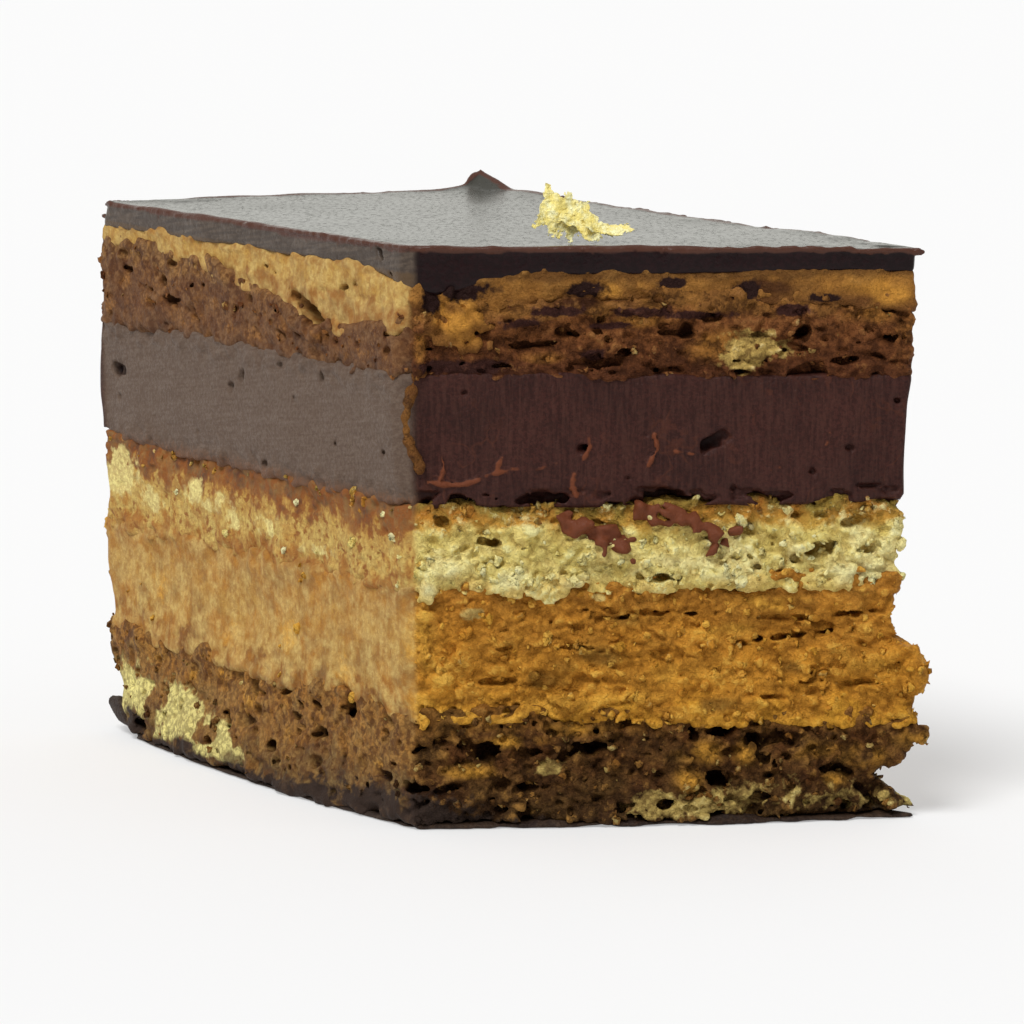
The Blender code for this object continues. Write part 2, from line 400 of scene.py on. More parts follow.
def roughen(block, look):
    # lumps, round crumbs and open gaps on the torn sides, drag marks on the wiped ones
    field = block["field"]
    for sort, rim in (("tornLumps", "tornRim"), ("wipedLumps", "wipedRim")):
        for seed, (cell, height) in enumerate(look[sort], seeds[sort]):
            field += height * block[rim] * lumps(block, cell, seed)
    relief = np.zeros_like(field)
    for seed, (cell, height, onWiped) in enumerate(look.get("crumble", ()), seeds["crumble"]):
        grown = np.abs(lumps(block, cell, seed)) - 0.8
        field -= height * (block["tornRim"] + onWiped * block["wipedRim"]) * grown
        relief += height * grown
    for seed, (cell, limit, depth, onWiped) in enumerate(look.get("gaps", ()), seeds["gaps"]):
        gap = easeStep(limit, limit + 0.5, lumps(block, cell, seed))
        field += depth * (block["tornRim"] + onWiped * block["wipedRim"]) * gap
    for lean, rim in (("lean", "tornRim"), ("leanWiped", "wipedRim")):
        if lean in look:  # how far the sides stand out at each height
            field -= block[rim] * np.interp(block["level"], *zip(*look[lean])).astype(np.float32)
    for seed, (cell, limit, depth, reach) in enumerate(look.get("undercut", ()), seeds["undercut"]):
        gap = easeStep(limit, limit + 0.4, lumps(block, cell, seed))
        field += depth * block["tornRim"] * gap * easeStep(reach, reach * 0.6, block["level"])
    if "fray" in look:  # ragged where the layer meets its neighbours
        near = easeStep(0.30, 0.46, np.abs(block["level"] - 0.5))
        field += look["fray"] * block["wipedRim"] * near * lumps(block, (0.55, 0.55, 0.45), seeds["fray"])
    block["relief"] = relief / max(sum(c[1] for c in look.get("crumble", ())), 0.01)
    block["crumb"] = lumps(block, (0.45, 0.45, 0.4), seeds["crumb"])


def buildLayer(name, node, look, material, extra=None, marks=None):
    block = makeBlock(node, look)
    roughen(block, look)
    for seed, pores in enumerate(look.get("pores", ()), seeds["pores"]):
        stamp(block, scatteredBlobs(block, pores, seed), True, pores["ragged"])
    stamp(block, placedBlobs(block, listed(look, "hollows")), True, ragged["hollows"])
    block["plain"] = block["field"].copy()
    stamp(block, placedBlobs(block, listed(look, "lobes")), False, ragged["lobes"])
    for side, radius, path in look.get("ridges", ()):
        stamp(block, placedBlobs(block, ridgeSpots(side, path, [radius] * 3)), False, ragged["ridges"])
    if "edge" in look:
        stamp(block, edgeBlobs(block, look["edge"]), False, ragged["edge"])
    if extra:
        extra(block, look)
    floorZ = (block["low"][2] + np.arange(block["field"].shape[2])) * block["voxel"]
    block["field"] = np.maximum(block["field"], (clearance - floorZ)[None, None, :].astype(np.float32))
    mesh, points = fieldMesh(name, block, look["adaptivity"])
    if marks:
        marks(mesh, points, block, look)
    return addPiece(name, mesh, node, material), block


def buildSmears(name, block, look, spots, material):
    # flakes and smears stuck to the side of a finished layer
    block = dict(block, field=np.full_like(block["body"], block["body"].max()))
    block.pop("plain")
    stamp(block, placedBlobs(block, spots), False, look["ragged"])
    mesh, points = fieldMesh(name, block, 0.0, smallest=40)
    for label, value in look.get("values", {"proud": 1.0}).items():
        writeValues(mesh, label, np.full(len(points), value))
    return addPiece(name, mesh, None, material)


# Node trees: short helpers that add a node with its inputs set or linked.

def addNode(tree, kind, inputs=None, **settings):
    made = tree.nodes.new(kind)
    for key, value in settings.items():
        setattr(made, key, value)
    for key, value in (inputs or {}).items():
        if isinstance(value, bpy.types.NodeSocket):
            tree.links.new(value, made.inputs[key])
        else:
            made.inputs[key].default_value = value
    return made


def vector(tree, operation, a, b):
    # b is a number for SCALE
    second = "Scale" if operation == "SCALE" else 1
    made = addNode(tree, "ShaderNodeVectorMath", {0: a, second: b}, operation=operation)
    return made.outputs["Vector"]


def swayed(tree, point, noise, far):
    # a point moved by a colour noise, by up to half of far each way
    sway = vector(tree, "SUBTRACT", noise.outputs["Color"], (0.5, 0.5, 0.5))
    return vector(tree, "ADD", point, vector(tree, "SCALE", sway, far))


def math2(tree, operation, a, b=0.0, clamp=False):
    return addNode(tree, "ShaderNodeMath", {0: a, 1: b}, operation=operation, use_clamp=clamp).outputs[0]


def times(tree, a, b, clamp=False):
    return math2(tree, "MULTIPLY", a, b, clamp)


def plus(tree, a, b):
    return math2(tree, "ADD", a, b)


def minus(tree, a, b):
    return math2(tree, "SUBTRACT", a, b)


def over(tree, a, b):
    return math2(tree, "DIVIDE", a, b)


def ramp(tree, value, low, high, clamp=True):
    # 0 at low, 1 at high
    made = addNode(tree, "ShaderNodeMapRange", {
        "Value": value, "From Min": low, "From Max": high}, clamp=clamp)
    return made.outputs["Result"]


def mixColour(tree, factor, a, b):
    made = addNode(tree, "ShaderNodeMix", {"Factor": factor}, data_type="RGBA")
    for key, value in (("A", a), ("B", b)):
        socket = [s for s in made.inputs if s.name == key and s.type == "RGBA"][0]
        if isinstance(value, bpy.types.NodeSocket):
            tree.links.new(value, socket)
        else:
            socket.default_value = (*value, 1.0)
    return [s for s in made.outputs if s.type == "RGBA"][0]


def coated(tree, colour, *coats):
    # colours laid over one another, each with its mask
    for mask, coat in coats:
        colour = mixColour(tree, mask, colour, coat)
    return colour


def readAttribute(tree, name):
    return addNode(tree, "ShaderNodeAttribute", attribute_name=name).outputs["Fac"]


def newGroup(name, inputs, outputs, kind="ShaderNodeTree"):
    group = bpy.data.node_groups.new(name, kind)
    for label, socketKind, value in inputs:
        socket = group.interface.new_socket(label, in_out="INPUT", socket_type=socketKind)
        if value is not None:
            socket.default_value = value
    for label, socketKind in outputs:
        group.interface.new_socket(label, in_out="OUTPUT", socket_type=socketKind)
    return group, group.nodes.new("NodeGroupInput"), group.nodes.new("NodeGroupOutput")


def crumbGrainGroup():
    # rounded grains with narrow gaps: a height from about -1 to 1, and a mask of the gaps
    group, given, result = newGroup(
        "crumbGrain",
        [("Vector", "NodeSocketVector", None), ("Size", "NodeSocketFloat", 0.4)],
        [("Height", "NodeSocketFloat"), ("Hollow", "NodeSocketFloat")],
    )
    scale = over(group, 1000.0, given.outputs["Size"])
    noiseNode = addNode(group, "ShaderNodeTexNoise", {
        "Vector": given.outputs["Vector"], "Scale": scale, "Detail": 3.0, "Roughness": 0.65})
    far = times(group, given.outputs["Size"], 2.0 * mm)
    cells = addNode(group, "ShaderNodeTexVoronoi", {
        "Vector": swayed(group, given.outputs["Vector"], noiseNode, far), "Scale": scale, "Detail": 1.0,
        "Roughness": 0.5}, feature="F1")
    domes = times(group, minus(group, 0.5, cells.outputs["Distance"]), 1.8)
    waves = times(group, minus(group, noiseNode.outputs["Fac"], 0.5), 2.2)
    height = plus(group, domes, waves)
    group.links.new(height, result.inputs["Height"])
    group.links.new(ramp(group, height, -0.1, -0.8), result.inputs["Hollow"])
    return group


def driftGroup():
    # slow change of tone over a piece, as a mask
    group, given, result = newGroup(
        "toneDrift",
        [("Vector", "NodeSocketVector", None), ("Size", "NodeSocketFloat", 3.0),
         ("Low", "NodeSocketFloat", 0.4), ("High", "NodeSocketFloat", 0.6)],
        [("Mask", "NodeSocketFloat")],
    )
    scale = over(group, 1000.0, given.outputs["Size"])
    noiseNode = addNode(group, "ShaderNodeTexNoise", {
        "Vector": given.outputs["Vector"], "Scale": scale, "Detail": 3.0, "Roughness": 0.55})
    mask = ramp(group, noiseNode.outputs["Fac"], given.outputs["Low"], given.outputs["High"])
    group.links.new(mask, result.inputs["Mask"])
    return group


def streakGroup():
    # drag marks left by the knife on the wiped sides: they run along X of the turned vector
    group, given, result = newGroup(
        "knifeStreaks",
        [("Vector", "NodeSocketVector", None), ("Width", "NodeSocketFloat", 0.3),
         ("Length", "NodeSocketFloat", 6.0), ("Turn", "NodeSocketVector", None)],
        [("Height", "NodeSocketFloat"), ("Mask", "NodeSocketFloat")],
    )
    turned = addNode(group, "ShaderNodeVectorRotate", {
        "Vector": given.outputs["Vector"], "Rotation": given.outputs["Turn"]}, rotation_type="EULER_XYZ")
    across = over(group, 1000.0, given.outputs["Width"])
    run = over(group, 1000.0, given.outputs["Length"])
    stretch = addNode(group, "ShaderNodeCombineXYZ", {"X": run, "Y": across, "Z": across})
    scaled = vector(group, "MULTIPLY", turned.outputs["Vector"], stretch.outputs["Vector"])
    noiseNode = addNode(group, "ShaderNodeTexNoise", {
        "Vector": scaled, "Scale": 1.0, "Detail": 3.0, "Roughness": 0.6})
    group.links.new(noiseNode.outputs["Fac"], result.inputs["Height"])
    group.links.new(ramp(group, noiseNode.outputs["Fac"], 0.42, 0.62), result.inputs["Mask"])
    return group


def creaseGroup():
    # thin raised creases, a few millimetres apart, in patches
    group, given, result = newGroup(
        "thinCreases",
        [("Vector", "NodeSocketVector", None), ("Size", "NodeSocketFloat", 2.5)],
        [("Mask", "NodeSocketFloat")],
    )
    scale = over(group, 1000.0, given.outputs["Size"])
    noiseNode = addNode(group, "ShaderNodeTexNoise", {
        "Vector": given.outputs["Vector"], "Scale": times(group, scale, 1.4), "Detail": 2.0,
        "Roughness": 0.5})
    far = times(group, given.outputs["Size"], 1.6 * mm)
    moved = swayed(group, given.outputs["Vector"], noiseNode, far)
    longer = vector(group, "MULTIPLY", moved, (1.0, 1.0, 0.6))
    cells = addNode(group, "ShaderNodeTexVoronoi", {
        "Vector": longer, "Scale": scale}, feature="DISTANCE_TO_EDGE")
    lines = ramp(group, cells.outputs["Distance"], 0.045, 0.012)
    patches = addNode(group, "ShaderNodeTexNoise", {
        "Vector": given.outputs["Vector"], "Scale": times(group, scale, 0.9), "Detail": 2.0})
    mask = times(group, lines, ramp(group, patches.outputs["Fac"], 0.52, 0.60))
    group.links.new(mask, result.inputs["Mask"])
    return group


groups = {
    "grain": crumbGrainGroup(), "drift": driftGroup(), "streaks": streakGroup(), "creases": creaseGroup(),
}


def useGroup(tree, name, inputs):
    return addNode(tree, "ShaderNodeGroup", inputs, node_tree=groups[name]).outputs


def newMaterial(name, roughness, specular):
    material = bpy.data.materials.new(name)
    material.use_nodes = True
    tree = material.node_tree
    shader = tree.nodes["Principled BSDF"]
    shader.inputs["Roughness"].default_value = roughness
    shader.inputs["Specular IOR Level"].default_value = specular
    place = tree.nodes.new("ShaderNodeTexCoord").outputs["Object"]
    return material, tree, shader, place


def bump(tree, shader, height):
    # height in millimetres
    made = addNode(tree, "ShaderNodeBump", {"Height": height, "Distance": mm, "Strength": 1.0})
    tree.links.new(made.outputs["Normal"], shader.inputs["Normal"])


def bands(tree, value, stops):
    made = addNode(tree, "ShaderNodeValToRGB", {"Fac": value})
    elements = made.color_ramp.elements
    while len(elements) < len(stops):
        elements.new(1.0)
    for element, (place, colour) in zip(elements, stops):
        element.position = place
        element.color = (*colour, 1.0)
    return made.outputs["Color"]


def around(tree, value, amount):
    # a mask turned into a shift of plus or minus half the amount
    return times(tree, minus(tree, value, 0.5), amount)


faceTurn = math.atan2(sides["frontLeft"]["along"][1], sides["frontLeft"]["along"][0])
upright = (0.0, math.pi / 2, 0.0)


def crumbMaterial(name, look):
    # crumb or cream: its colour follows the height in the layer, then the crumbs and hollows, with painted
    # highlight on crumb crests and painted shade in crevices and recesses
    material, tree, shader, place = newMaterial(name, look["roughness"], look["specular"])
    cavity, torn, relief, level, pale, tint, stain = (
        readAttribute(tree, n) for n in ("cavity", "torn", "relief", "level", "pale", "tint", "stain"))
    grain = useGroup(tree, "grain", {"Vector": place, "Size": look["grainSize"]})
    wide, fine, mottle, blotch, haze = (
        useGroup(tree, "drift", {"Vector": place, "Size": size, "Low": low, "High": high})["Mask"]
        for size, low, high in (
            (look["patchSize"], 0.34, 0.66), (0.7, 0.34, 0.66), (1.3, 0.38, 0.62), (3.2, 0.44, 0.60),
            (1.9, 0.46, 0.66),
        ))
    drag = useGroup(tree, "streaks", {
        "Vector": place, "Width": look["dragWidth"], "Length": 3.5, "Turn": upright})
    shifted = plus(tree, level, around(tree, wide, look["warp"]))
    tone = times(tree, grain["Height"], look["grainTone"])
    tone = plus(tree, times(tree, relief, look["reliefTone"]), tone)
    isPale = ramp(tree, plus(tree, pale, around(tree, fine, 0.5)), 0.35, 0.65)

    # painted highlight for crumb crests and painted shade for crevices and recesses, torn and pale
    light = mixColour(tree, isPale, look["tornPaintedHighlight"], look["palePaintedHighlight"])
    deep = mixColour(tree, isPale, look["tornPaintedShade"], look["palePaintedShade"])
    # torn sides: colour bands, patches and tints, then that painted highlight and shade by crumb height and
    # recess depth
    rough = coated(
        tree, bands(tree, shifted, look["tornBands"]),
        (times(tree, wide, look["patchAmount"]), look["patch"]),
        (ramp(tree, tint, 0.05, 1.1), look["bright"]),
        (ramp(tree, tint, -0.05, -1.1), look["dull"]),
        (isPale, look["paleTorn"]),
        (times(tree, ramp(tree, tone, 0.1, 1.0), look["crestHighlightAmount"]), light),
        (times(tree, ramp(tree, tone, 0.0, -0.9), look["deepAmount"]), deep),
        # painted shade in recesses, by depth below the plain side
        (ramp(tree, cavity, 0.25, look["deepAt"]), deep),
    )

    strayed = plus(tree, shifted, around(tree, mottle, look["stray"]))
    strayed = plus(tree, strayed, around(tree, drag["Height"], look["drag"]))
    strayTint = plus(tree, tint, around(tree, fine, 0.8))
    clear = minus(tree, 1.0, times(tree, isPale, 0.75))
    # partly painted sheen: lighter, paler mottles and streaks on the wiped sides
    lit = plus(tree, mottle, around(tree, drag["Mask"], look["dragTone"]))
    lit = times(tree, lit, times(tree, clear, look["fibre"]), clamp=True)
    lit = times(tree, lit, ramp(tree, strayed, look["litTop"], look["litTop"] - 0.15))
    speck = ramp(tree, plus(tree, fine, around(tree, level, 0.25)), 0.60, 0.88)
    # wiped sides: smeared colour bands, lighter and paler than the torn ones partly as painted sheen, real
    # specks, and painted shade in grain pits and recesses
    flat = coated(
        tree, bands(tree, strayed, look["wipedBands"]),
        (isPale, look["paleWiped"]),
        (times(tree, ramp(tree, strayTint, 0.3, 0.9), 0.85), look["bright"]),
        (times(tree, ramp(tree, strayTint, -0.2, -0.8), 0.8), look["smear"]),
        (times(tree, blotch, times(tree, clear, look["smudge"])), look["smudgeColour"]),
        (times(tree, haze, times(tree, clear, look["haze"])), look["hazeColour"]),
        (lit, look["wipedLight"]),
        (times(tree, speck, times(tree, clear, look["speck"])), look["wipedDark"]),
        # painted shade in the grain pits, in the dark colour also used for the real specks
        (times(tree, grain["Hollow"], look["pits"]), look["wipedDark"]),
        # painted shade in recesses, by depth below the plain side
        (ramp(tree, cavity, 0.25, look["deepAt"]), look["tornPaintedShade"]),
    )

    stained = ramp(tree, plus(tree, stain, around(tree, fine, 0.5)), 0.30, 0.62)
    # real chocolate stain, with a painted highlight on its crumb crests
    stain = mixColour(tree, ramp(tree, tone, 0.0, 1.0), look["stain"], look["stainLight"])
    tree.links.new(coated(tree, flat, (torn, rough), (stained, stain)), shader.inputs["Base Color"])
    smooth = minus(tree, 1.0, torn)
    grainRise = plus(tree, times(tree, torn, look["grainHeight"]), look["grainWiped"])
    dragRise = times(tree, smooth, look["dragHeight"])
    rise = plus(tree, times(tree, grain["Height"], grainRise), times(tree, drag["Height"], dragRise))
    bump(tree, shader, rise)
    return material


def chocolateMaterial(name, look):
    material, tree, shader, place = newMaterial(name, look["roughness"], look["specular"])
    torn, cavity, proud, top = (readAttribute(tree, n) for n in ("torn", "cavity", "proud", "top"))
    calm = minus(tree, 1.0, times(tree, top, 0.92))
    wide = useGroup(tree, "drift", {"Vector": place, "Size": 5.0, "Low": 0.36, "High": 0.64})["Mask"]
    fine = useGroup(tree, "grain", {"Vector": place, "Size": look["grainSize"]})
    drag = useGroup(tree, "streaks", {
        "Vector": place, "Width": look["dragWidth"], "Length": 4.0, "Turn": (0.0, 0.25, -faceTurn)})
    hair = useGroup(tree, "streaks", {"Vector": place, "Width": 0.25, "Length": 2.5, "Turn": upright})
    creases = useGroup(tree, "creases", {"Vector": place, "Size": 3.4})["Mask"]
    creases = times(tree, creases, times(tree, calm, look["crease"]))
    # torn sides: dark chocolate with random lighter patches and painted shade in the grain hollows
    rough = coated(
        tree, look["dark"],
        (wide, look["light"]),
        (times(tree, fine["Hollow"], 0.5), look["deep"]),
        (times(tree, hair["Mask"], look["hair"]), look["hairColour"]),
        (creases, look["burr"]),
    )
    # wiped sides: a lighter, greyer colour with lighter drag streaks, partly painted sheen, and painted shade
    # in the grain hollows
    flat = coated(
        tree, look["wiped"],
        (times(tree, drag["Mask"], 0.6), look["wipedLight"]),
        (times(tree, fine["Hollow"], 0.35), look["wipedDark"]),
    )
    lower = plus(tree, readAttribute(tree, "level"), around(tree, fine["Height"], -0.06))
    lower = times(tree, ramp(tree, lower, 0.12, 0.02), minus(tree, 1.0, torn))
    colour = coated(
        tree, flat,
        (torn, rough),
        (times(tree, lower, 0.8), look["foot"]),
        # painted sheen: upward-facing glaze coloured grey
        (top, look["top"]),
        (ramp(tree, proud, 0.03, 0.10), look["burr"]),
        # painted shade in recesses, by depth below the plain side
        (ramp(tree, cavity, 0.3, 0.9), look["deep"]),
    )
    tree.links.new(colour, shader.inputs["Base Color"])
    satin = times(tree, wide, times(tree, calm, 0.10))
    satin = plus(tree, satin, look["roughness"] - 0.05)
    spots = useGroup(tree, "streaks", {
        "Vector": place, "Width": 0.36, "Length": 0.9, "Turn": (0.0, 0.0, math.pi / 2)})
    satin = plus(tree, satin, times(tree, fine["Hollow"], times(tree, calm, 0.15)))
    satin = plus(tree, satin, times(tree, times(tree, spots["Mask"], top), 0.05))
    tree.links.new(satin, shader.inputs["Roughness"])
    rise = times(tree, hair["Height"], times(tree, torn, look["hairHeight"]))
    rise = plus(tree, rise, times(tree, drag["Height"], look["dragHeight"]))
    rise = plus(tree, rise, times(tree, fine["Height"], look["grainHeight"]))
    rise = plus(tree, rise, times(tree, creases, 0.05))
    pinholes = times(tree, ramp(tree, spots["Height"], 0.58, 0.66), times(tree, top, -0.035))
    bump(tree, shader, plus(tree, times(tree, rise, calm), pinholes))
    return material


# Loose crumbs, strewn with geometry nodes where a layer's "shed" values say.

def endTree(tree, geometry, material, result):
    # real mesh with its material, as the tree's result
    whole = addNode(tree, "GeometryNodeRealizeInstances", {"Geometry": geometry})
    coloured = addNode(tree, "GeometryNodeSetMaterial", {
        "Geometry": whole.outputs["Geometry"], "Material": material})
    tree.links.new(coloured.outputs["Geometry"], result.inputs["Geometry"])
    return tree


def crumbTree():
    tree, given, result = newGroup(
        "crumbScatter",
        [("Geometry", "NodeSocketGeometry", None), ("Per Square Millimetre", "NodeSocketFloat", 1.0),
         ("Seed", "NodeSocketInt", 1), ("Smallest", "NodeSocketFloat", 0.1 * mm),
         ("Largest", "NodeSocketFloat", 0.3 * mm), ("Lumpiness", "NodeSocketFloat", 0.5),
         ("Material", "NodeSocketMaterial", None)],
        [("Geometry", "NodeSocketGeometry")], "GeometryNodeTree",
    )
    shed = addNode(tree, "GeometryNodeInputNamedAttribute", {"Name": "shed"}, data_type="FLOAT")
    density = times(tree, given.outputs["Per Square Millimetre"], 1e6)
    density = times(tree, density, shed.outputs["Attribute"])
    points = addNode(tree, "GeometryNodeDistributePointsOnFaces", {
        "Mesh": given.outputs["Geometry"], "Density": density, "Seed": given.outputs["Seed"]})
    crumb = addNode(tree, "GeometryNodeMeshIcoSphere", {"Radius": 1.0, "Subdivisions": 2})
    turn = addNode(tree, "FunctionNodeRandomValue", {"Min": (0, 0, 0), "Max": (6.28, 6.28, 6.28)},
                   data_type="FLOAT_VECTOR")
    shape = addNode(tree, "FunctionNodeRandomValue", {"Min": (0.6, 0.6, 0.5), "Max": (1.4, 1.1, 0.9)},
                    data_type="FLOAT_VECTOR")
    chance = addNode(tree, "FunctionNodeRandomValue", {"Seed": 7}, data_type="FLOAT").outputs[1]
    spread = minus(tree, given.outputs["Largest"], given.outputs["Smallest"])
    size = times(tree, math2(tree, "POWER", chance, 2.5), spread)
    size = plus(tree, size, given.outputs["Smallest"])
    scale = vector(tree, "SCALE", shape.outputs["Value"], size)
    strewn = addNode(tree, "GeometryNodeInstanceOnPoints", {
        "Points": points.outputs["Points"], "Instance": crumb.outputs["Mesh"],
        "Rotation": turn.outputs["Value"], "Scale": scale})
    whole = addNode(tree, "GeometryNodeRealizeInstances", {"Geometry": strewn.outputs["Instances"]})
    where = addNode(tree, "GeometryNodeInputPosition")
    noise = addNode(tree, "ShaderNodeTexNoise", {
        "Vector": where.outputs["Position"], "Scale": 3200.0, "Detail": 1.0})
    swing = vector(tree, "SUBTRACT", noise.outputs["Color"], (0.5, 0.5, 0.5))
    reach = times(tree, given.outputs["Lumpiness"], given.outputs["Largest"])
    moved = addNode(tree, "GeometryNodeSetPosition", {
        "Geometry": whole.outputs["Geometry"], "Offset": vector(tree, "SCALE", swing, reach)})
    smooth = addNode(tree, "GeometryNodeSetShadeSmooth", {0: moved.outputs["Geometry"]})
    return endTree(tree, smooth.outputs[0], given.outputs["Material"], result)


crumbScatter = crumbTree()


def grown(host, tree, values):
    # the mesh that a geometry nodes tree makes from a host mesh
    carrier = bpy.data.objects.new("carrier", host)
    bpy.context.scene.collection.objects.link(carrier)
    modifier = carrier.modifiers.new("grow", "NODES")
    modifier.node_group = tree
    for item in tree.interface.items_tree:
        if item.in_out == "INPUT" and item.name in values:
            modifier[item.identifier] = values[item.name]
    made = bpy.data.meshes.new_from_object(carrier.evaluated_get(bpy.context.evaluated_depsgraph_get()))
    carrier.modifiers.clear()
    bpy.data.objects.remove(carrier)
    return made


def readValues(mesh, name):
    values = np.empty(len(mesh.vertices), np.float32)
    mesh.attributes[name].data.foreach_get("value", values)
    return values


def strewCrumbs(name, host, look, material):
    torn, level = readValues(host.data, "torn"), readValues(host.data, "level")
    shed = np.zeros(len(torn))
    for middle, reach, amount in look["belts"]:
        shed = np.maximum(shed, amount * np.exp(-((level - middle) / reach) ** 2))
    shed *= look["onTorn"] * torn + look["onWiped"] * (1 - torn)
    shed *= (level > -0.1) * (level < 1.1) * (readValues(host.data, "cavity") < 1.2)
    writeValues(host.data, "shed", shed)
    mesh = grown(host.data, crumbScatter, {
        "Per Square Millimetre": look["perMm"], "Seed": look["seed"], "Smallest": look["size"][0] * mm,
        "Largest": look["size"][1] * mm, "Lumpiness": look["lumpiness"], "Material": material})
    host.data.attributes.remove(host.data.attributes["shed"])
    mesh.name = name
    rng = np.random.default_rng(look["seed"])
    count = len(mesh.vertices) // crumbCorners
    for label, (low, high) in look["values"].items():
        writeValues(mesh, label, np.repeat(rng.uniform(low, high, count), crumbCorners))
    return addPiece(name, mesh, None, material)


# Lower sponge: soaked dark, pale where the syrup did not reach, with large dark holes.
# Hollows, lobes and smears are given per side: s, z, depth, tilt, and radii along, out and up.
# Coloured spots are given per side: s, z, reach along and reach up.

# the light and deep torn and pale colours are painted highlight on crumb crests and painted shade in crevices
# and recesses
lowerSpongeFinish = {
    "roughness": 0.55, "specular": 0.06, "grainSize": 0.42, "grainHeight": 0.1, "grainWiped": 0.03,
    "patchSize": 2.4, "warp": 0.3, "reliefTone": 1.1, "grainTone": 0.6, "crestHighlightAmount": 0.65,
    "deepAmount": 0.7, "deepAt": 1.2, "stray": 0.35, "smudge": 0.5, "smudgeColour": (0.28, 0.115, 0.024),
    "pits": 0.5, "smear": (0.05, 0.033, 0.024), "haze": 0.45, "hazeColour": (0.115, 0.07, 0.032),
    "dragTone": 0.3, "litTop": 2.0, "stain": (0.038, 0.024, 0.018), "stainLight": (0.07, 0.042, 0.027),
    "tornBands": (
        (0.0, (0.06, 0.026, 0.01)), (0.5, (0.12, 0.045, 0.013)), (0.88, (0.125, 0.046, 0.013)),
        (1.0, (0.26, 0.105, 0.019)),
    ),
    "patch": (0.15, 0.085, 0.024), "patchAmount": 0.55, "tornPaintedHighlight": (0.44, 0.22, 0.052),
    "tornPaintedShade": (0.01, 0.0032, 0.0012), "bright": (0.66, 0.32, 0.045), "dull": (0.04, 0.016, 0.006),
    "paleTorn": (0.52, 0.37, 0.11), "palePaintedHighlight": (0.84, 0.7, 0.28), "palePaintedShade": (0.09, 0.04, 0.012),
    "dragWidth": 0.45, "drag": 0.12, "dragHeight": 0.015, "fibre": 0.45, "speck": 0.7,
    "wipedBands": (
        (0.0, (0.075, 0.042, 0.018)), (0.14, (0.15, 0.075, 0.022)), (0.6, (0.33, 0.15, 0.034)),
        (1.0, (0.4, 0.18, 0.036)),
    ),
    "wipedLight": (0.33, 0.21, 0.07), "wipedDark": (0.07, 0.025, 0.009), "paleWiped": (0.84, 0.74, 0.27),
}
